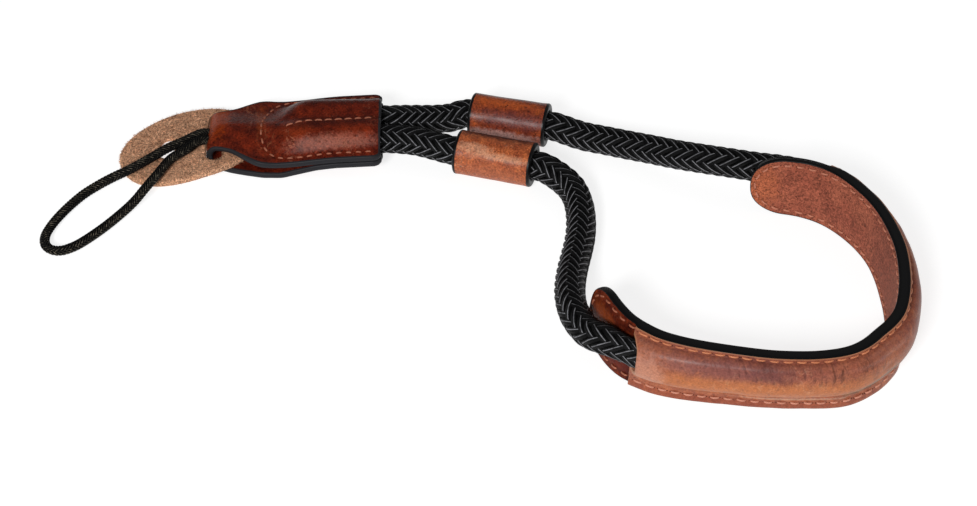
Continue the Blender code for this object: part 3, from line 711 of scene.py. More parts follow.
farSliderLeather = leatherFinish("leather_slider_far", {
    **sliderLook, "light": (160, 76, 36), "middle": (118, 48, 28), "dark": (82, 32, 24), "darkShare": 0.4,
    "pores": 0.5, "grainShade": 2.3, "scuffColour": (200, 150, 124), "roughness": 0.36, "coat": 0.1,
    "spots": (
        # (0, 7.1) is painted shade: darker along the slider's top edge
        (0, 7.1, 15, 0.42, 0.9, (58, 18, 12)), (-2, 6.3, 12, 0.42, 0.75, (176, 80, 30)),
        (3, 5.4, 12, 0.45, 0.75, (98, 48, 46)), (-3, 4.6, 13, 0.26, 0.8, (176, 138, 130)),
        # (0, 4.1) is painted shade: darker along the lower edge, next to the near slider
        (0, 4.1, 14, 0.34, 0.7, (66, 26, 20)),
    ),
})
nearSliderLeather = leatherFinish("leather_slider_near", {
    **sliderLook, "light": (184, 100, 56), "middle": (154, 76, 42), "dark": (112, 48, 28), "darkShare": 0.35,
    "pores": 0.4, "grainShade": 2.1, "scuffColour": (214, 168, 138), "roughness": 0.4, "coat": 0.06,
    "spots": (
        # (0, 7.05) is painted shade along the top edge; (-6, 5.75) and (2, 5.5) are a painted highlight streak across
        # the middle
        (0, 7.05, 16, 0.66, 0.97, (44, 14, 10)), (-6, 5.75, 6, 0.25, 0.45, (206, 160, 130)),
        (2, 5.5, 11, 0.2, 0.5, (208, 152, 116)), (0, 4.6, 13, 0.6, 0.6, (158, 90, 62)),
    ),
})
needleHole = newFinish("needle_holes", {
    "Roughness": 0.9, "Base Color": seenColour((86, 46, 34)), "Specular IOR Level": 0.1})[0]
edgePaint, paintTree, paintShader = newFinish("edge_paint", {
    "Roughness": edgeRoughness, "Specular IOR Level": 0.16, "Base Color": seenColour(edgeBlack)})
addBump(paintTree, paintShader, noiseWire(layouts(paintTree)[0], 1100.0, 3.0), 0.3, 0.08)
print("finishes mixed")


# Wrist band: its route and cross section

band = {
    **inMillimetres(
        width=20.0, reach=78.3, depth=74.3, left=29.0, near=-56.6, routeSoft=3.5, endLetOut=12.0, headingSoft=2.0,
        rowSoft=3.0, stripOutside=2.2, coverInside=2.4, cover=1.0, coverSetback=20.8, coverDraw=3.4, coverFoot=1.3,
        coverStep=0.8, pareRun=8.0, pareReach=4.6, pareFade=1.0, pareDepth=0.6, ropeHeight=12.6, pressHeight=9.2,
        pressDepth=3.7, paintRise=0.42, paintStep=0.5, stitchInset=1.9, stitchDip=0.16, dipWidth=0.75,
        stationStep=1.1, rimInset=0.4, farTabWidth=1.5, nearTabWidth=2.2, fullWidth=3.05, farSpread=9.0,
        nearSpread=1.2, coverSeamLow=2.6, coverSeamHigh=18.9, stripRim=0.1, coverRim=0.16, paintLap=0.05),
    "liningFaces": (0.0, 1.05 * mm), "stripFaces": (2.25 * mm, 1.15 * mm),  # the face that shows, then the other
    "footBend": (0.45, 0.12), "sideBend": (0.08, 0.5), "archAngles": (8, 34, 62, 90, 118, 146, 172), "softenings": 10,
    "stripWaves": ((6.0, 3.1, 0.07), (1.6, 8.2, 0.025)), "coverWaves": ((7.0, 5.7, 0.16), (2.2, 1.3, 0.05)),
}
bandRadius = band["width"] / 2

# The band's inner face from its far end round to its near end: across, depth, lean, press, level
bandRows = (
    (0.567, 1.000, 0.00, 1.10, 0.84), (0.664, 0.981, 0.00, 1.10, 0.84), (0.753, 0.961, 0.02, 1.05, 0.84),
    (0.836, 0.912, 0.03, 1.00, 0.84), (0.918, 0.806, 0.02, 1.00, 0.84), (0.970, 0.685, 0.03, 1.00, 0.84),
    (0.996, 0.513, 0.08, 1.00, 0.84), (0.992, 0.345, 0.06, 0.95, 0.88), (0.970, 0.200, -0.03, 0.72, 0.93),
    (0.930, 0.132, -0.04, 0.66, 0.96), (0.894, 0.092, -0.05, 0.66, 0.98), (0.838, 0.040, -0.01, 0.72, 1.00),
    (0.776, 0.011, 0.03, 0.80, 1.00), (0.676, 0.000, 0.08, 0.88, 1.00), (0.549, 0.004, 0.08, 0.92, 1.00),
    (0.421, 0.023, 0.05, 0.95, 1.00), (0.293, 0.048, 0.00, 1.00, 1.00), (0.198, 0.080, -0.04, 1.10, 1.00),
    (0.144, 0.114, -0.08, 1.15, 1.00), (0.102, 0.147, -0.12, 1.15, 1.00), (0.072, 0.188, -0.14, 1.15, 1.00),
    (0.041, 0.250, -0.14, 1.15, 1.00), (0.000, 0.370, -0.14, 1.15, 1.00),
)


def readBandRoute(perRow=12):
    points = [(band["left"] + row[0] * band["reach"], band["near"] + row[1] * band["depth"], 0.0) for row in bandRows]
    route = smoothPoints(points, perRow)
    lengths = np.array(pathLengths(route))
    marks = np.arange(0.0, lengths[-1], 0.25 * mm)
    table = {"run": marks}
    for axis, key, awayKey, side in ((0, "x", "awayY", 1), (1, "y", "awayX", -1)):
        # The softening draws the two ends in, so they are let out again
        line = softColumn(marks, lengths, [point[axis] for point in route], band["routeSoft"])
        line += (route[0][axis] - line[0]) * (1 - ease(marks / band["endLetOut"]))
        line += (route[-1][axis] - line[-1]) * ease(1 - (marks[-1] - marks) / band["endLetOut"])
        table[key] = line
        table[awayKey] = side * softColumn(marks, marks, np.gradient(line), band["headingSoft"])
    size = np.hypot(table["awayX"], table["awayY"])
    table["awayX"], table["awayY"] = table["awayX"] / size, table["awayY"] / size
    for column, key in ((2, "lean"), (3, "press"), (4, "level")):
        table[key] = softColumn(marks, lengths[::perRow], [row[column] for row in bandRows], band["rowSoft"])
    return table, lengths[-1]


bandTable, bandLength = readBandRoute()


def bandValue(key, distance):
    return np.interp(distance, bandTable["run"], bandTable[key])


def onBand(distance, outward, height):
    # A point of the band from its distance along, its way out from the inner face and its height
    distance, outward, height = np.broadcast_arrays(distance, outward, height)
    shift = outward + bandValue("lean", distance) * (height - bandRadius)
    x = bandValue("x", distance) + bandValue("awayX", distance) * shift
    y = bandValue("y", distance) + bandValue("awayY", distance) * shift
    return np.stack((x, y, height * np.ones_like(x)), axis=-1)


def ropeLevel(distance):
    return band["ropeHeight"] * bandValue("level", distance)


def ropePress(distance):
    return band["pressDepth"] * bandValue("press", distance)


def drawnIn(distance, outward):
    # The cover is drawn back over the rope, so its cut ends stand further in there
    bulge = np.clip((outward - band["coverInside"] - band["cover"]) / band["pressDepth"], 0.0, 1.0)
    fromMiddle = (distance - bandLength / 2) / (bandLength / 2 - band["coverSetback"])
    return distance - band["coverDraw"] * bulge * fromMiddle


# Braided rope and thin cord, with the connector, pad and sliders that they run through

rope = {
    **inMillimetres(
        diameter=8.3, rowPitch=3.2, strandWidth=1.85, strandThick=1.1, halfRun=3.65, topRadius=3.72, endRadius=3.05,
        coreRadius=3.35, pressRun=10.0, pressHold=8.0, hold=20.0, pointSpacing=4.6, mouthRun=2.5, coverRun=3.0,
        pressSpare=5.0),
    "columns": 8, "halfAngle": math.radians(38), "segments": 9, "sides": 8,
}
cord = {
    **inMillimetres(
        diameter=2.8, rowPitch=0.98, strandWidth=0.62, strandThick=0.4, halfRun=1.0, topRadius=1.24, endRadius=1.02,
        coreRadius=1.12, offset=-1.9, hold=4.6, pointSpacing=2.9, pressHold=0.0, insideFold=1.0, pastFold=2.0),
    "columns": 6, "halfAngle": math.radians(38), "segments": 4, "sides": 5,
}
farRopeLeft = ((-26.0, 51.7, 5.5), (-21.0, 52.8, 4.6), (-15.5, 53.0, 4.45), (-10.6, 53.0, 5.1))
farRopeRight = (
    (23.4, 46.2, 5.4), (27.6, 45.0, 4.6), (33.4, 43.2, 4.6), (40.2, 40.2, 5.3), (46.9, 37.0, 6.3),
    (53.5, 33.2, 7.7), (60.1, 29.7, 9.2), (66.7, 26.7, 10.4),
)
nearRopeLeft = ((-25.3, 41.3, 6.5), (-20.2, 40.1, 6.7))
nearRopeRight = (
    (16.9, 28.3, 6.2), (20.2, 25.7, 5.6), (22.9, 22.8, 5.0), (24.5, 19.6, 4.6), (25.6, 14.0, 4.4),
    (25.8, 7.2, 4.4), (25.3, 1.0, 4.5), (24.3, -5.0, 5.1), (22.9, -12.7, 6.3), (21.9, -20.6, 7.8),
    (21.7, -27.4, 9.1), (22.4, -33.3, 10.0), (23.9, -37.9, 10.5), (26.4, -42.2, 10.9),
)
cordPoints = (
    (-88.4, 41.4, 5.7), (-92.8, 38.8, 5.3), (-98.4, 34.3, 4.6), (-103.7, 30.4, 3.9), (-107.3, 28.8, 3.0),
    (-111.2, 27.0, 1.8), (-116.0, 22.2, 1.45), (-121.0, 13.7, 1.45), (-123.5, 6.8, 1.45),
    (-123.5, 2.8, 1.45), (-121.9, 0.2, 1.45), (-119.0, -0.7, 1.45), (-116.1, 0.4, 1.45),
    (-113.2, 2.7, 1.45), (-108.0, 8.7, 1.45), (-103.2, 15.3, 1.6), (-100.2, 18.9, 2.6),
    (-97.7, 22.2, 4.1), (-94.2, 28.6, 4.9), (-91.4, 34.0, 5.3), (-87.0, 38.0, 5.7),
)
connector = {
    **inMillimetres(
        leather=1.8, length=50.3, flange=2.8, foot=0.6, neck=8.2, lift=4.1, slack=0.5, hold=20.0, humpMargin=0.8,
        humpRun=12.5, x=-31.5, y=46.2, rimRound=0.42, cornerRound=2.2, nearFall=6.8, farFall=9.5,
        crest=1.2, wrapSoft=0.9, mouthFlat=0.3),
    "neckFlare": 1.18, "turn": math.radians(1.0), "sideAngle": math.radians(60), "foldFrom": 0.87,
    "joinEasings": 4, "bridgings": 12,
}
pad = {
    **inMillimetres(
        thick=2.0, length=41.6, width=28.9, x=-87.0, y=42.8, droopRun=24.0, foldSlotWidth=5.2, foldSlotShift=2.2,
        rough=0.05, roughSize=1.3),
    "freeSlot": (-93.3 * mm, 41.6 * mm, 9.5 * mm, 4.4 * mm),  # x, y, length, width
    "corner": 2.2, "turn": math.radians(23.0), "wobble": 0.006, "edgeBulge": 0.55, "points": 180,
}
slider = {
    **inMillimetres(length=23.0, leather=2.0, edge=0.75, flattened=0.12, ripple=0.1, rippleSize=5.0, rippleFade=3.0,
                    beyond=2.0),
    "sides": 28, "points": 96,
}

ropeRadius = rope["diameter"] / 2
cordRadius = cord["diameter"] / 2
boreRadius = ropeRadius + fitGap
sliderRadius = boreRadius + slider["leather"]
sliderMiddle = sliderRadius * math.cos(math.pi / slider["sides"])
ropeHeightInside = connector["leather"] + fitGap + ropeRadius
ropePair = ropeRadius + fitGap / 2
overRope = ropeRadius + fitGap + connector["leather"]
connectorHalf = ropePair + overRope + connector["foot"] + connector["flange"]
layerGap = 0.2 * mm
padRest = connector["leather"] + layerGap
padTop = padRest + pad["thick"]
foldRoom = pad["thick"] + 2 * layerGap + connector["slack"]
cordHeight = padTop + fitGap + cordRadius
cordPair = cordRadius + fitGap / 2
overCord = cordHeight + cordRadius + fitGap + connector["leather"]


def inConnector(distance, y, z):
    # A point by its distance from the connector's mouth
    return turned(-distance, y, z, connector)


def onPlan(points):
    return [Vector(point) * mm for point in points]


def ropeRoute(side, place, leftPoints, rightPoints, shares, fromFarEnd):
    # From inside the connector, through the slider's bore, to the band and into its cover
    inside = [inConnector(d, side * ropePair, ropeHeightInside)
              for d in (rope["hold"], rope["hold"] / 2, 0.0, -rope["mouthRun"])]
    half, beyond = slider["length"] / 2, slider["length"] / 2 + slider["beyond"]
    bore = [turned(a, 0.0, sliderMiddle, place) for a in (-beyond, -half, 0.0, half, beyond)]

    def besideStrip(run):
        # run is the way still to go to the cover, below zero inside it
        distance = band["coverSetback"] - run
        if not fromFarEnd:
            distance = bandLength - distance
        share = float(ease(1 - run / rope["pressRun"]))
        radius = ropeRadius + (ropePress(distance) / 2 - ropeRadius) * share
        gap = (2 - share) * fitGap
        outward = band["stripOutside"] + gap + radius * math.hypot(1, bandValue("lean", distance))
        return onBand(distance, outward, ropeLevel(distance))

    runs = [band["coverSetback"] * (1 - share) for share in shares] + [-rope["coverRun"], -rope["pressHold"]]
    along = [besideStrip(run) for run in runs]
    return smoothPoints([*inside, *onPlan(leftPoints), *bore, *onPlan(rightPoints), *along])


def cordRoute():
    length, starts = connector["length"], []
    for side in (1, -1):
        starts.append([inConnector(d, cord["offset"] + side * cordPair, cordHeight)
                       for d in (length - cord["hold"], length - cord["insideFold"], length + cord["pastFold"])])
    return smoothPoints([*starts[0], *onPlan(cordPoints), *reversed(starts[1])])


def braidStrand(name, look, hand):
    # One float of the braid, bent round the rope's axis and tucked in at both ends
    segments, sides = look["segments"], look["sides"]
    centres, verts, flats = [], [], []
    for step in range(segments + 1):
        s = 2 * step / segments - 1
        rise = math.cos(s * math.pi / 2) ** 0.6 if abs(s) < 1 else 0.0
        radius = look["endRadius"] + (look["topRadius"] - look["endRadius"]) * rise
        angle = hand * s * look["halfAngle"]
        centres.append(Vector((radius * math.cos(angle), radius * math.sin(angle), s * look["halfRun"])))
    for step, centre in enumerate(centres):
        ahead = centres[min(step + 1, segments)] - centres[max(step - 1, 0)]
        out = Vector((centre.x, centre.y, 0.0)).normalized()
        across = ahead.cross(out).normalized()
        s = 2 * step / segments - 1
        taper = 0.62 + 0.38 * math.sqrt(max(0.0, 1 - s * s))
        for side in range(sides):
            turn = 2 * math.pi * side / sides + math.pi / 2
            verts.append(centre + across * (look["strandWidth"] / 2 * taper * math.cos(turn))
                         + out * (look["strandThick"] / 2 * math.sin(turn)))
            flats.append((step / segments, (side / sides + 0.5) % 1.0))
    return showObject(name, closedMesh(name, verts, ringFaces(segments + 1, sides, caps=True), flats))


@asTree("braidAlongRoute", {
    "Route": "Object", "Left Strand": "Object", "Right Strand": "Object", "Columns": 6, "Row Pitch": 0.0027,
    "Core Radius": 0.0034, "Spin": 0.0, "Press Run": 0.01, "Press Hold": 0.008, "Press Depth": 1.0,
    "Press Height": 1.0, "Material": "Material"}, {"Geometry": "Geometry"}, "GeometryNodeTree")
def braidTree(tree, guide, left, right, columns, pitch, coreRadius, spin, pressRun, pressHold, pressDepth,
              pressHeight, material):
    # Strands in columns round a core, bent along the route and pressed towards its end
    route = shapeOf(guide)
    length = nodeWire(tree, "GeometryNodeCurveLength", {"Curve": route}, "Length")
    rows = reckon("FLOOR", length / pitch)
    index = nodeWire(tree, "GeometryNodeInputIndex")
    row = reckon("FLOOR", (index + 0.5) / columns)
    column = index - row * columns
    parity = reckon("FLOORED_MODULO", column, 2.0)
    height = (row + (parity * 0.5 + 0.25)) * pitch
    points = nodeWire(tree, "GeometryNodePoints", {
        "Count": rows * columns, "Position": joined(tree, 0.0, 0.0, height)}, "Points")
    turn = nodeWire(tree, "FunctionNodeEulerToRotation", {
        0: joined(tree, 0.0, 0.0, column * (2 * math.pi / columns) + spin)})
    core = nodeWire(tree, "GeometryNodeMeshCylinder", {
        "Vertices": 20, "Side Segments": rows, "Radius": coreRadius, "Depth": length}, "Mesh")
    parts = [nodeWire(tree, "GeometryNodeTransform", {
        "Geometry": core, "Translation": joined(tree, 0.0, 0.0, length * 0.5)}, "Geometry")]
    for strand, test in ((left, "LESS_THAN"), (right, "GREATER_THAN")):
        chosen = nodeWire(tree, "FunctionNodeCompare", {0: parity, 1: 0.5}, data_type="FLOAT", operation=test)
        parts.append(nodeWire(tree, "GeometryNodeInstanceOnPoints", {
            "Points": points, "Selection": chosen, "Instance": shapeOf(strand), "Rotation": turn}, "Instances"))
    join = addNode(tree, "GeometryNodeJoinGeometry")
    for part in parts:
        plug(tree, part, join.inputs[0])
    solid = nodeWire(tree, "GeometryNodeRealizeInstances", {"Geometry": Wire(join.outputs[0])}, "Geometry")
    x, y, z = splitUp(nodeWire(tree, "GeometryNodeInputPosition"))
    sample = addNode(tree, "GeometryNodeSampleCurve", {"Curves": route, "Length": z}, mode="LENGTH").outputs
    middle, tangent, normal = (Wire(sample[label]) for label in ("Position", "Tangent", "Normal"))
    offset = normal * x + reckon("CROSS_PRODUCT", tangent, normal) * y
    pressEnd = length - pressHold
    pressed = span(z, pressEnd - pressRun, pressEnd, kind="SMOOTHSTEP")
    level = reckon("NORMALIZE", reckon("CROSS_PRODUCT", tangent, (0.0, 0.0, 1.0)))
    tall = pressed * (pressHeight - 1.0) + 1.0
    deep = pressed * (pressDepth - 1.0) + 1.0
    sideways = reckon("DOT_PRODUCT", offset, level, output=1) * (deep - tall)
    placed = nodeWire(tree, "GeometryNodeSetPosition", {
        "Geometry": solid, "Position": middle + (offset * tall + level * sideways)}, "Geometry")
    return dressed(placed, material)


def buildBraid(name, route, look, material, press=None, spin=0.0):
    # Lays the braid along its route; press says how far the band flattens its end
    knots = [point + planShift for point in evenPoints(route, look["pointSpacing"] / 2)]
    curve = bpy.data.curves.new(name + "_route", "CURVE")
    curve.dimensions = "3D"
    spline = curve.splines.new("POLY")
    spline.points.add(len(knots) - 1)
    for knot, point in zip(spline.points, knots):
        knot.co = (*point, 1.0)
    guide = showObject(name + "_route", curve)
    left, right = braidStrand(name + "_left", look, 1), braidStrand(name + "_right", look, -1)
    piece = runTree(name, braidTree, {
        "Route": guide, "Left Strand": left, "Right Strand": right, "Columns": look["columns"],
        "Row Pitch": look["rowPitch"], "Core Radius": look["coreRadius"], "Press Run": rope["pressRun"],
        "Press Hold": look["pressHold"], "Spin": spin, "Material": material,
        "Press Depth": band["pressDepth"] * press / look["diameter"] if press else 1.0,
        "Press Height": band["pressHeight"] / look["diameter"] if press else 1.0})
    for helper in (guide, left, right):
        bpy.data.objects.remove(helper)
    return piece, knots


def declareCord(knots, mouth):
    pathLengths(knots)[-1]


def buildCords():
    farShares, nearShares = (0.1, 0.4, 0.7, 1.0), (0.72, 1.0)
    for node, side, route, press, spin in (
        ("rope_far", 1, ropeRoute(1, farSliderPlace, farRopeLeft, farRopeRight, farShares, True), 1.10, 0.0),
        ("rope_near", -1, ropeRoute(-1, nearSliderPlace, nearRopeLeft, nearRopeRight, nearShares, False), 1.15, 45.0),
    ):
        piece, knots = buildBraid(node + "_braid", route, rope, ropeBlack, press, math.radians(spin))
        carry(piece, node)
        declareCord(knots, inConnector(0.0, side * ropePair, ropeHeightInside))
    piece, knots = buildBraid("tether_braid", cordRoute(), cord, cordBlack)
    carry(piece, "tether_loop")
    declareCord(knots, inConnector(connector["length"], cord["offset"] + cordPair, cordHeight))


def buildBandRope():
    # The rope inside the band, pressed to an oval under the cover
    start = band["coverSetback"] + rope["pressHold"]
    marks = np.linspace(start, bandLength - start, 40)
    route = [Vector(onBand(d, band["stripOutside"] + fitGap + ropePress(d) / 2, ropeLevel(d))) for d in marks]
    look = {**rope, "pressHold": pathLengths(route)[-1] + rope["pressSpare"]}
    carry(buildBraid("rope_in_band_braid", route, look, ropeBlack, 0.85)[0], "rope_in_band")


# Wrist band: lining, strip, cover and the painted edge

def bandStations(inset):
    # Distances along the band with the half height there, closer together round the two ends
    kept = bandRadius - inset
    start = [(bandRadius - kept * math.cos(a), kept * math.sin(a)) for a in np.radians(np.linspace(4.0, 90.0, 16))[:-1]]
    middle = [(d, kept) for d in np.arange(bandRadius, bandLength - bandRadius, band["stationStep"])]
    end = [(bandLength - d, half) for d, half in [*start, (bandRadius, kept)][::-1]]
    return np.array([*start, *middle, *end])


def rimDistance(distance, height):
    # How far inside the band's outline a point lies, in millimetres
    past = np.maximum(bandRadius - distance, distance - (bandLength - bandRadius))
    straight = bandRadius - np.abs(height - bandRadius)
    rounded = bandRadius - np.hypot(past, height - bandRadius)
    return np.where(past > 0, rounded, straight) / mm


def seamDip(away):
    # A seam pulls the leather in along its row
    return band["stitchDip"] * np.exp(-(away / band["dipWidth"]) ** 2)


def buildStrip(name, node, outside, inside, face, material, slot):
    # One flat strip with half-round ends: outside is the face that shows
    stations = bandStations(band["rimInset"])
    cols = np.sin(np.linspace(-math.pi / 2, math.pi / 2, 25))
    distance = np.repeat(stations[:, :1], len(cols), axis=1)
    height = bandRadius + stations[:, 1:] * cols[None, :]
    toRim = rimDistance(distance, height)
    base = onBand(distance, outside, height)
    relief = face * (uneven(base, band["stripWaves"]) - seamDip(np.abs(toRim * mm - band["stitchInset"])))
    flat = np.stack((distance, height), axis=-1) / mm
    piece = leatherShell(name, onBand(distance, outside + relief, height), onBand(distance, inside, height), flat,
                         toRim, band["stripRim"], material)
    carry(piece, node)


def coverSection(distance, perSpan=4):
    # The cover's inner and outer outlines at one distance, as heights and ways out
    half = band["pressHeight"] / 2 + fitGap
    depth, centre = float(ropePress(distance)), float(ropeLevel(distance))
    rise, base = depth / 2 + fitGap, band["coverInside"]
    side = [(half + band["coverFoot"], base)]
    side += [(half + run * band["coverFoot"], base + climb * rise)
             for run, climb in (band["footBend"], band["sideBend"])]
    pressCentre = band["stripOutside"] + fitGap + depth / 2
    arch = [(half * math.cos(a), pressCentre + rise * math.sin(a)) for a in np.radians(band["archAngles"])]
    low, high = band["rimInset"], band["width"] - band["rimInset"]
    knots = [(low, base), ((low + centre - side[0][0]) / 2, base)]
    knots += [(centre - reach, out) for reach, out in side + arch]
    knots += [(centre + reach, out) for reach, out in reversed(side)]
    knots += [((high + centre + side[0][0]) / 2, base), (high, base)]
    dense = np.array([tuple(p) for p in smoothPoints([(*knot, 0.0) for knot in knots], perSpan)])[:, :2]
    run = np.gradient(dense, axis=0)
    run /= np.linalg.norm(run, axis=1, keepdims=True)
    return dense, dense + np.stack((-run[:, 1], run[:, 0]), axis=1) * band["cover"]


coverCreases = (
    # start and end as distance and height, then depth and spread, in millimetres
    ((84, 14.6), (101, 16.2), 0.28, 0.7), ((80, 5.6), (98, 3.6), 0.3, 0.8), ((86, 9.0), (99, 7.4), 0.12, 0.6),
    ((103, 3.9), (126, 3.6), 0.16, 0.8), ((123.1, 16.0), (120.1, 13.5), 0.16, 0.35),
    ((108, 14.9), (116, 15.5), 0.1, 0.6), ((88, 12.2), (95, 11.4), 0.1, 0.5),
)


def coverRelief(points, distance, height):
    relief = uneven(points, band["coverWaves"])
    for seam in (band["coverSeamLow"], band["coverSeamHigh"]):
        relief -= seamDip(height - seam)
    d, h = distance / mm, height / mm
    for start, end, depth, spread in coverCreases:
        over, up = end[0] - start[0], end[1] - start[1]
        share = np.clip(((d - start[0]) * over + (h - start[1]) * up) / (over**2 + up**2), 0.0, 1.0)
        gap = np.hypot(d - start[0] - share * over, h - start[1] - share * up)
        relief -= depth * mm * np.exp(-(gap / spread) ** 2)
    return relief


def buildCover():
    distances = np.arange(band["coverSetback"], bandLength - band["coverSetback"], band["coverStep"])
    sections = [coverSection(d) for d in distances]
    inner, outer = (np.array([section[i] for section in sections]) for i in (0, 1))
    along = np.repeat(distances[:, None], inner.shape[1], axis=1)
    # the leather is pared thin towards the far end of its flanges
    pared = ease(1 - (along - distances[0]) / band["pareRun"])
    outer[..., 1] -= pared * ease((band["pareReach"] - outer[..., 1]) / band["pareFade"]) * band["pareDepth"]
    for softening in range(band["softenings"]):
        outer[:, 1:-1, 1] = 0.25 * outer[:, :-2, 1] + 0.5 * outer[:, 1:-1, 1] + 0.25 * outer[:, 2:, 1]
    height, out = outer[..., 0], outer[..., 1]
    innerGrid = onBand(drawnIn(along, inner[..., 1]), inner[..., 1], inner[..., 0])
    drawn = drawnIn(along, out)
    outerGrid = onBand(drawn, out + coverRelief(onBand(drawn, out, height), along, height), height)
    flat = np.stack((along, height), axis=-1) / mm
    toEnd = np.minimum(along - distances[0], distances[-1] - along) / mm
    carry(leatherShell("band_cover_leather", outerGrid, innerGrid, flat, toEnd, band["coverRim"], coverLeather),
          "band_cover")


def buildPaintedEdge():
    # The smooth painted edge that runs round the whole band over all its layers
    run = np.arange(bandRadius, bandLength - bandRadius, band["paintStep"])
    turns = np.radians(np.arange(88, -89, -4))
    outline = []
    for up, end, marks in ((1, bandLength, run), (-1, 0.0, run[::-1])):
        outline += [(d, bandRadius * (1 + up), 0.0, up) for d in marks]
        outline += [(end - up * bandRadius * (1 - math.cos(a)), bandRadius * (1 + up * math.sin(a)),
                     up * math.cos(a), up * math.sin(a)) for a in turns]
    distance, height, outD, outH = np.array(outline)[:, :, None].transpose(1, 0, 2)
    inCover = np.minimum(distance, bandLength - distance) - band["coverSetback"]
    onFar = distance < bandLength / 2
    spread = np.where(onFar, band["farSpread"], band["nearSpread"])
    bare = np.where(onFar, band["farTabWidth"], band["nearTabWidth"])
    wide = bare + (band["fullWidth"] - bare) * ease(inCover / spread + 0.5) + 2 * band["paintLap"]
    angles = np.radians(np.linspace(0, 180, 11))[None, :]
    outward = wide / 2 * (1 + np.cos(angles)) - band["paintLap"]
    rise = (np.maximum(np.sin(angles), 0.0) ** 0.75 - 1) * band["paintRise"]
    rings = onBand(distance + outD * rise, outward, height + outH * rise)
    flat = np.repeat(np.array(outline)[:, :2] / mm, rings.shape[1], axis=0)
    faces = ringFaces(*rings.shape[:2], loop=True)
    carry(makePiece("band_painted_edge", rings.reshape(-1, 3), faces, edgePaint, flat), None)


# Sliders

def buildSlider(name, node, place, seed, material):
    half, edge = slider["length"] / 2, slider["edge"]
    outer, inner = sliderRadius, boreRadius
    rightEnd = [(half - edge + edge * math.sin(a), outer - edge + edge * math.cos(a))
                for a in np.radians(np.arange(0, 91, 15))]
    rightEnd += [(half, inner + edge), (half - 0.1 * mm, inner + edge * 0.4), (half - 0.4 * mm, inner)]
    section = [(-x, r) for x, r in reversed(rightEnd)]
    section += [(x, outer) for x in np.linspace(-half + edge, half - edge, 34)[1:-1]] + rightEnd
    section += [(x, inner) for x in np.linspace(half - 2 * mm, -half + 2 * mm, 5)]
    along, radius = np.array(section).T
    turns = np.linspace(0, 2 * math.pi, slider["points"], endpoint=False) + math.radians(120)
    # the leather is a little flattened and rippled, but keeps its ends and its bore
    dent = np.where(radius > inner + 0.6 * mm, 1.0, 0.0) * ease((half - np.abs(along)) / slider["rippleFade"])
    verts = []
    for turn in turns:
        cos, sin = math.cos(turn), math.sin(turn)
        ripple = np.array([noise.noise(Vector((x / slider["rippleSize"], 1.2 * cos, 1.2 * sin + seed)))
                           for x in along])
        r = radius - dent * (slider["flattened"] + slider["ripple"] * ripple)
        verts += list(turned(along, r * sin, sliderMiddle + r * cos, place))
    flat = [(x / mm, turn) for turn in turns for x in along]
    toRim = [max(-1.0, (half - edge * 0.9 - abs(x)) / mm) for turn in turns for x in along]
    piece = makePiece(name, verts, ringFaces(len(turns), len(section), loop=True), material, flat, toRim)
    carry(piece, node)


# Connector: one strip folded through the guard pad's slot

layerRows = {
    # along, wide, lift, open
    "lower": (
        (-0.004, 1.00, 1.00, 0.00), (0.01, 1.00, 1.00, 0.00), (0.05, 1.00, 0.98, 0.00), (0.13, 1.00, 0.93, 0.00),
        (0.25, 1.00, 0.86, 0.00), (0.36, 1.00, 0.68, 0.00), (0.45, 1.00, 0.38, 0.00), (0.56, 1.00, 0.00, 0.00),
        (0.67, 0.99, 0.00, 0.00), (0.77, 0.91, 0.00, 0.00), (0.87, 0.81, 0.00, 0.00),
    ),
    "upper": (
        (0.00, 1.00, 1.00, 0.00), (0.05, 1.00, 0.98, 0.00), (0.13, 1.00, 0.93, 0.00), (0.25, 1.00, 0.86, 0.00),
        (0.36, 1.00, 0.68, 0.04), (0.45, 1.00, 0.38, 0.23), (0.56, 1.00, 0.00, 0.57), (0.62, 1.00, 0.00, 0.57),
        (0.67, 1.00, 0.00, 0.66), (0.715, 0.95, 0.00, 0.82), (0.77, 0.83, 0.00, 0.92), (0.825, 0.71, 0.00, 0.97),
        (0.87, 0.63, 0.00, 1.00),
    ),
}
layerMarks = np.linspace(-0.02, 0.88, 181)
layerTables = {
    (layer, key): softColumn(layerMarks, [row[0] for row in rows], [row[column] for row in rows], 0.03)
    for layer, rows in layerRows.items() for column, key in ((1, "wide"), (2, "lift"), (3, "open"))
}
layerGridRows, foldGridRows, acrossMiddle = 80, 31, 35  # rows of the grids, and their middle column


def layerValue(layer, key, along):
    return np.interp(along, layerMarks, layerTables[layer, key])


def upperHeight(along, y):
    # The upper layer's outer surface above the surface that the strap lies on
    flange = layerValue("upper", "lift", along) * connector["lift"] + 2 * connector["leather"] + fitGap
    flange = flange + layerValue("upper", "open", along) * foldRoom
    side = np.abs(y)
    limit = ropePair + overRope * math.sin(connector["sideAngle"])
    foot = ropePair + overRope + connector["foot"]
    domed = ropeHeightInside + np.sqrt(np.maximum(overRope**2 - (side - ropePair) ** 2, 0.0))
    edgeHeight = ropeHeightInside + overRope / 2
    falling = edgeHeight + (flange - edgeHeight) * ease((side - limit) / (foot - limit))
    hump = np.where(side <= limit, domed, falling)
    reach = np.where(y < cord["offset"], connector["nearFall"], connector["farFall"])
    fall = np.clip((np.abs(y - cord["offset"]) - connector["crest"]) / reach, 0.0, 1.0)
    neck = flange + (overCord - flange) * (0.3 * (0.5 + 0.5 * np.cos(math.pi * fall)) + 0.7 * (1 - fall))
    pastRope = along * connector["length"] - connector["hold"] - connector["humpMargin"]
    return neck + (hump - neck) * ease(1 - pastRope / connector["humpRun"])


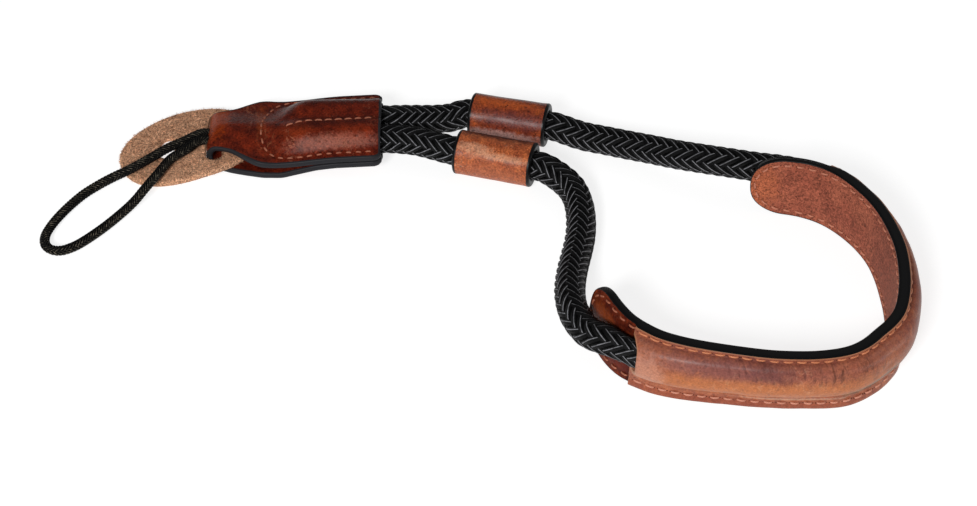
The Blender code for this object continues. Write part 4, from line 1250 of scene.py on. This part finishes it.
def lowerHeight(along, y):
    # The lower layer wraps up round the rope, then runs level to its edge
    side = np.clip(np.abs(y) - ropePair, 0.0, overRope - 0.01 * mm)
    wrap = overRope - np.sqrt(overRope**2 - side**2)
    lift = layerValue("lower", "lift", along) * connector["lift"]
    soft = connector["wrapSoft"]
    share = np.clip(0.5 + 0.5 * (lift - wrap) / soft, 0.0, 1.0)
    return np.maximum(lift * (1 - share) + wrap * share - soft * share * (1 - share), 0.0)


def layerHalf(layer, along):
    # Half the strip's width, rounded off at the mouth
    radius = connector["cornerRound"]
    short = np.clip(radius - (along * connector["length"] + connector["mouthFlat"]), 0.0, 0.96 * radius)
    return layerValue(layer, "wide", along) * connectorHalf - (radius - np.sqrt(radius**2 - short**2))


def onConnector(grid, distance, y):
    # A point of the finished upper layer, read from its grid
    along = distance / connector["length"]
    rows, cols = grid.shape[0] - 1, grid.shape[1] - 1
    row = np.clip((1 - along / connector["foldFrom"]) * rows, 0, rows - 0.001)
    col = np.clip((y / layerHalf("upper", along) + 1) / 2 * cols, 0, cols - 0.001)
    r, c = int(row), int(col)
    u, v = row - r, col - c
    return ((grid[r, c] * (1 - v) + grid[r, c + 1] * v) * (1 - u)
            + (grid[r + 1, c] * (1 - v) + grid[r + 1, c + 1] * v) * u)


def layerGrid(layer, heightAt, start, end):
    shares = np.linspace(-1, 1, 2 * acrossMiddle + 1)
    rows = []
    for along in np.linspace(start, end, layerGridRows):
        y = shares * layerHalf(layer, along)
        rows.append(inConnector(along * connector["length"], y, heightAt(along, y)))
    return rows


def foldGrid():
    rows = []
    for turn in np.radians(np.linspace(-90, 90, foldGridRows + 2)[1:-1]):
        wide = connector["neck"] * (1 + (connector["neckFlare"] - 1) * max(0.0, -math.sin(turn)))
        y = np.linspace(-1, 1, 2 * acrossMiddle + 1) * wide
        radius = upperHeight(connector["foldFrom"], y) / 2
        rows.append(inConnector(connector["length"] - radius * (1 - math.cos(turn)), y, radius * (1 + math.sin(turn))))
    return rows


def buildConnector():
    outer = np.array(layerGrid("lower", lowerHeight, -0.004, connector["foldFrom"]) + foldGrid()
                     + layerGrid("upper", upperHeight, connector["foldFrom"], 0.0))
    first, last = layerGridRows - 10, layerGridRows + foldGridRows + 14
    for easing in range(connector["joinEasings"]):
        outer[first:last] = (outer[first - 1:last - 1] + outer[first:last] * 2 + outer[first + 1:last + 1]) / 4
    for bridging in range(connector["bridgings"]):
        # the leather bridges small steps, most of all between the rope's humps and the fold
        rise = outer[layerGridRows + 20:, :, 2]
        rise[1:-1] = (rise[:-2] + 2 * rise[1:-1] + rise[2:]) / 4
        rise[:, 1:-1] = (rise[:, :-2] + 2 * rise[:, 1:-1] + rise[:, 2:]) / 4
    normals = np.cross(np.gradient(outer, axis=0), np.gradient(outer, axis=1))
    normals /= np.maximum(np.linalg.norm(normals, axis=2, keepdims=True), 1e-12)
    if normals[-10, acrossMiddle, 2] < 0:
        normals = -normals
    width = np.linalg.norm(np.diff(outer, axis=1), axis=2)
    across = np.concatenate((np.zeros((len(outer), 1)), np.cumsum(width, axis=1)), axis=1)
    steps = np.linalg.norm(np.diff(outer[:, acrossMiddle], axis=0), axis=1)
    run = np.repeat(np.concatenate(([0.0], np.cumsum(steps)))[:, None], outer.shape[1], axis=1)
    toRim = np.minimum(np.minimum(across, across[:, -1:] - across), np.minimum(run, run[-1:] - run)) / mm
    flat = np.stack((run[-1:] - run, across), axis=-1) / mm
    piece = leatherShell("connector_leather", outer, outer - normals * connector["leather"], flat, toRim,
                         connector["rimRound"], connectorLeather, 7)
    carry(piece, "connector")
    return outer[-layerGridRows:]


# Guard pad

def slotCutter(name, x, y, length, width):
    radius = width / 2
    outline = [(radius * math.cos(a), end * (length / 2 - radius) + radius * math.sin(a))
               for end, start in ((1, 0), (-1, 180)) for a in np.radians(range(start, start + 181, 15))]
    place = {"x": x, "y": y, "turn": connector["turn"]}
    verts = [Vector(turned(px, py, z, place)) for z in (-pad["thick"], padTop + pad["thick"]) for px, py in outline]
    faces = ringFaces(2, len(outline), caps=True)
    return makePiece(name, verts, faces[-2:] + faces[:-2], tanSuede, smooth=False)


fuzz = {**inMillimetres(length=0.75, thick=0.055), "perSquareMillimetre": 6.0, "lean": 0.9,
        "rings": ((0.0, 0.0, 1.0), (0.5, 0.12, 0.85), (0.85, 0.4, 0.5))}  # rise, out, size


def fibreShape():
    # One bent nap fibre, thick at its root and pointed
    verts = []
    for rise, out, size in fuzz["rings"]:
        for a in (2 * math.pi * side / 3 for side in range(3)):
            verts.append((out * fuzz["length"] + fuzz["thick"] * size * math.cos(a),
                          fuzz["thick"] * size * math.sin(a), rise * fuzz["length"]))
    verts.append((0.75 * fuzz["length"], 0.0, fuzz["length"]))
    faces = ringFaces(3, 3) + [(0, 2, 1), (6, 7, 9), (7, 8, 9), (8, 6, 9)]
    return showObject("one_fibre", closedMesh("one_fibre", verts, faces))


def randomShare(tree, low, high, seed):
    return nodeWire(tree, "FunctionNodeRandomValue", {"Min": low, "Max": high, "Seed": seed}, 1, data_type="FLOAT")


def swung(tree, rotation, angles):
    # A rotation turned further in its own directions
    turn = nodeWire(tree, "FunctionNodeEulerToRotation", {0: angles})
    return nodeWire(tree, "FunctionNodeRotateRotation", {"Rotation": rotation, "Rotate By": turn},
                    rotation_space="LOCAL")


@asTree("napFibres", {
    "Geometry": "Geometry", "Shape": "Object", "Density": 4.0e6, "Lean": 0.8, "Seed": 5, "Material": "Material"},
    {"Geometry": "Geometry"}, "GeometryNodeTree")
def napTree(tree, skin, fibre, density, lean, seed, material):
    # Fibres over all faces but those that lie on the surface below
    upward = splitUp(nodeWire(tree, "GeometryNodeInputNormal"))[2]
    spread = addNode(tree, "GeometryNodeDistributePointsOnFaces", {
        "Mesh": skin, "Selection": reckon("GREATER_THAN", upward, -0.4), "Density": density, "Seed": seed}).outputs
    low = lean * -1.0
    tilt = nodeWire(tree, "FunctionNodeRandomValue", {
        0: joined(tree, low, low, -3.1), 1: joined(tree, lean, lean, 3.1), "Seed": 7}, data_type="FLOAT_VECTOR")
    solid = repeated(Wire(spread["Points"]), fibre, swung(tree, Wire(spread["Rotation"]), tilt),
                     randomShare(tree, 0.35, 1.0, 9))
    return nodeWire(tree, "GeometryNodeSetMaterial", {"Geometry": solid, "Material": material}, "Geometry")


def buildPad():
    def onPad(x, y, offset):
        droop = padRest * ease((x + pad["length"] / 2) / pad["droopRun"])
        return Vector(turned(x, y, droop + half + offset, pad))

    half = pad["thick"] / 2
    shares = [0.12, 0.28, 0.42, 0.54, 0.64, 0.73, 0.81, 0.88, 0.935, 0.965]
    profile = [(share, half) for share in shares]
    profile += [(1 - half * pad["edgeBulge"] * (1 - math.cos(a)) / (pad["width"] / 2), half * math.sin(a))
                for a in np.radians(range(80, -81, -20))]
    profile += [(share, -half) for share in reversed(shares)]
    count, verts = pad["points"], []
    for share, offset in profile:
        for turn in np.linspace(0, 2 * math.pi, count, endpoint=False):
            c, s = math.cos(turn), math.sin(turn)
            wobble = 1 + pad["wobble"] * noise.noise(Vector((3 * c, 3 * s, 1.7)))
            x = pad["length"] / 2 * math.copysign(abs(c) ** (2 / pad["corner"]), c) * share * wobble
            y = pad["width"] / 2 * math.copysign(abs(s) ** (2 / pad["corner"]), s) * share * wobble
            rough = pad["rough"] * noise.noise(Vector((x, y, offset)) / pad["roughSize"])
            verts.append(onPad(x, y, offset + min(rough, 0.0) * (1 if offset > 0 else -1)))
    faces = ringFaces(len(profile), count)
    for ring, offset in ((0, half), (len(profile) - 1, -half)):
        faces += [(ring * count + i, ring * count + (i + 1) % count, len(verts)) for i in range(count)]
        verts.append(onPad(0.0, 0.0, offset))
    piece = makePiece("guard_pad_suede", verts, faces, tanSuede)
    fold = Vector(inConnector(connector["length"] - pad["foldSlotShift"], 0.0, 0.0))
    foldSlotLength = 2 * connector["neck"] * connector["neckFlare"] + 4 * fitGap
    cutters = [slotCutter("fold_slot", *fold[:2], foldSlotLength, pad["foldSlotWidth"]),
               slotCutter("free_slot", *pad["freeSlot"])]
    for cutter in cutters:
        cut = piece.modifiers.new("slot", "BOOLEAN")
        cut.operation, cut.solver, cut.object = "DIFFERENCE", "EXACT", cutter
    mesh = finishedMesh(piece)
    piece.modifiers.clear()
    piece.data = mesh
    fibre = fibreShape()
    carry(piece, "guard_pad")
    nap = runTree("guard_pad_nap", napTree, {
        "Shape": fibre, "Density": fuzz["perSquareMillimetre"] / mm**2, "Lean": fuzz["lean"],
        "Material": tanSuede}, mesh.copy())
    for helper in (*cutters, fibre):
        bpy.data.objects.remove(helper)
    carry(nap, None)


# Stitches

stitch = {
    **inMillimetres(
        pitch=3.4, connectorPitch=2.8, length=1.95, radius=0.27, rise=0.16, sink=0.3, hole=0.17, liningOut=0.1,
        stripOut=2.12, tabCut=1.6, coverStart=2.4, coverEnd=2.2, rowStep=0.5, edgeSink=0.1),
    "segments": 8, "sides": 7, "holeSides": 8,
}


def stitchShape():
    # One stitch: a short thread that rises from its hole and dips into the next
    segments, sides = stitch["segments"], stitch["sides"]
    verts, flats = [], []
    for step in range(segments + 1):
        s = 2 * step / segments - 1
        middle = stitch["rise"] - (stitch["rise"] + stitch["sink"]) * abs(s) ** 3.2
        thin = stitch["radius"] * (0.72 + 0.28 * math.sqrt(max(0.0, 1 - s**4)))
        for a in (2 * math.pi * side / sides for side in range(sides)):
            verts.append((s * stitch["length"] / 2, thin * 1.08 * math.cos(a), middle + thin * math.sin(a)))
            flats.append((step / segments, a / (2 * math.pi)))
    return showObject("one_stitch", closedMesh("one_stitch", verts, ringFaces(segments + 1, sides, caps=True), flats))


def holeShape():
    # The two needle holes of a stitch, as flat dark dots
    verts, faces = [], []
    sides = stitch["holeSides"]
    for end in (-1, 1):
        start = len(verts)
        for size, z in ((0.8, 0.03), (1.0, -0.12), (0.8, -0.3)):
            for a in (2 * math.pi * step / sides for step in range(sides)):
                verts.append((end * stitch["length"] * 0.53 + stitch["hole"] * size * math.cos(a),
                              stitch["hole"] * size * math.sin(a), z * mm))
        faces += [tuple(start + corner for corner in face) for face in ringFaces(3, sides, caps=True)]
    return showObject("needle_holes", closedMesh("needle_holes", verts, faces))


@asTree("stitchesAlongRows", {
    "Geometry": "Geometry", "Shape": "Object", "Pitch": 0.0034, "Sway": 0.09, "Stretch": 1.0, "Seed": 3,
    "Material": "Material"}, {"Geometry": "Geometry"}, "GeometryNodeTree")
def stitchTree(tree, rows, shape, pitch, sway, stretch, seed, material):
    # The shape at even steps along each row, upright on the face below it
    curve = nodeWire(tree, "GeometryNodeMeshToCurve", {"Mesh": rows}, "Curve")
    marks = nodeWire(tree, "GeometryNodeResampleCurve", {"Curve": curve, "Length": pitch}, "Curve", mode="LENGTH")
    face = nodeWire(tree, "GeometryNodeInputNamedAttribute", {"Name": "face"}, "Attribute", data_type="FLOAT_VECTOR")
    tangent = nodeWire(tree, "GeometryNodeInputTangent")
    lie = nodeWire(tree, "FunctionNodeAxesToRotation", {"Primary Axis": tangent, "Secondary Axis": face},
                   "Rotation", primary_axis="X", secondary_axis="Z")
    lie = swung(tree, lie, joined(tree, 0.0, 0.0, randomShare(tree, sway * -1.0, sway, seed)))
    size = randomShare(tree, 0.92, 1.06, 11) * stretch
    return dressed(repeated(marks, shape, lie, joined(tree, size, 1.0, 1.0)), material)


def sewRows(name, rows, pitch, thread, shapes, stretch):
    # rows: lists of (point, face direction); one piece of thread and one of needle holes
    for suffix, shape, material in (("", shapes[0], thread), ("_holes", shapes[1], needleHole)):
        verts, edges, faces = [], [], []
        for row in rows:
            start = len(verts)
            verts += [tuple(Vector(point) + planShift) for point, face in row]
            faces += [tuple(face) for point, face in row]
            edges += [(i, i + 1) for i in range(start, len(verts) - 1)]
        host = bpy.data.meshes.new(name + suffix + "_rows")
        host.from_pydata(verts, edges, [])
        mark = host.attributes.new("face", "FLOAT_VECTOR", "POINT")
        mark.data.foreach_set("vector", np.array(faces, dtype=np.float32).ravel())
        values = {"Shape": shape, "Pitch": pitch, "Stretch": stretch, "Material": material}
        carry(runTree(name + suffix, stitchTree, values, host), None)


def bandFace(distance, side):
    x, y, lean = (float(bandValue(key, distance)) for key in ("awayX", "awayY", "lean"))
    return side * Vector((x, y, -lean)).normalized()


def stripRow(outward, side, start, end):
    # Along both edges of the strip and round its ends, between two distances
    kept = bandRadius - band["stitchInset"]
    low, high = max(start, bandRadius), min(end, bandLength - bandRadius)
    turns = np.radians(range(0, 181, 6))
    row = [(d, bandRadius + kept) for d in np.arange(low, high, stitch["rowStep"])]
    if end >= bandLength:
        row += [(bandLength - bandRadius + kept * math.sin(a), bandRadius + kept * math.cos(a)) for a in turns]
    row += [(d, bandRadius - kept) for d in np.arange(high, low, -stitch["rowStep"])]
    if start <= 0:
        row += [(bandRadius - kept * math.sin(a), bandRadius - kept * math.cos(a)) for a in turns]
    return [(onBand(d, outward, h), bandFace(d, side)) for d, h in row]


def coverRow(height):
    row = []
    start, end = band["coverSetback"] + stitch["coverStart"], bandLength - band["coverSetback"] - stitch["coverEnd"]
    for d in np.arange(start, end, band["coverStep"]):
        outer = coverSection(d)[1]
        outward = float(np.interp(height, outer[:, 0], outer[:, 1])) - band["stitchDip"]
        row.append((onBand(d, outward, height), bandFace(d, 1)))
    return row


connectorEdgeRow = (
    # distance from the mouth and place across, in millimetres
    (2.6, 12.4), (8.0, 12.4), (18.0, 12.6), (28.6, 12.7), (32.0, 9.6), (33.8, 4.2), (34.3, -4.4),
    (32.4, -9.4), (28.1, -11.9), (16.0, -12.0), (3.2, -12.0),
)
connectorMiddleRow = ((3.4, -1.6), (9.9, -2.3), (17.0, -2.8), (26.0, -3.2))


def connectorRow(top, waypoints, sink):
    row = []
    reach = stitch["rowStep"]
    for x, y, z in smoothPoints([(d * mm, across * mm, 0.0) for d, across in waypoints], 14):
        here = onConnector(top, x, y)
        face = np.cross(onConnector(top, x + reach, y) - onConnector(top, x - reach, y),
                        onConnector(top, x, y + reach) - onConnector(top, x, y - reach))
        face *= math.copysign(1, face[2]) / np.linalg.norm(face)
        row.append((here - face * sink, face))
    return row


def sewAll(top):
    # Every row of stitches; top is the grid of the connector's upper layer
    shapes = (stitchShape(), holeShape())
    cut = band["coverSetback"] - stitch["tabCut"]
    strap, small = stitch["pitch"], stitch["connectorPitch"]
    tabRows = [stripRow(stitch["stripOut"], 1, *ends) for ends in ((bandLength - cut, bandLength), (0.0, cut))]
    for name, rows, pitch, thread, slot, stretch in (
        ("lining", [stripRow(stitch["liningOut"], -1, 0.0, bandLength)], strap, suedeThread, "suede_lining", 1.2),
        ("strip", tabRows, strap, dullThread, "leather_dark", 1.2),
        ("cover_lower", [coverRow(band["coverSeamLow"])], strap, waxedThread, "leather_cognac", 1.3),
        ("cover_upper", [coverRow(band["coverSeamHigh"])], strap, orangeThread, "leather_cognac", 1.45),
        ("connector_edge", [connectorRow(top, connectorEdgeRow, stitch["edgeSink"])], small, dullThread, "leather_dark",
         1.0),
        ("connector_middle", [connectorRow(top, connectorMiddleRow, 0.0)], small, dullThread, "leather_dark", 1.2),
    ):
        sewRows(name + "_stitches", rows, pitch, thread, shapes, stretch)
    for shape in shapes:
        bpy.data.objects.remove(shape)


buildCords()
print("rope and thin cord laid")
buildBandRope()
buildStrip("band_lining_suede", "band_lining", *band["liningFaces"], -1, liningSuede, "suede_lining")
buildStrip("band_strip_leather", "band_strip", *band["stripFaces"], 1, stripLeather, "leather_dark")
buildCover()
buildPaintedEdge()
print("wrist band built")
buildSlider("slider_far_leather", "slider_far", farSliderPlace, 0.0, farSliderLeather)
buildSlider("slider_near_leather", "slider_near", nearSliderPlace, 4.0, nearSliderLeather)
connectorTop = buildConnector()
buildPad()
print("sliders, connector and pad built")
sewAll(connectorTop)
print("stitches sewn")
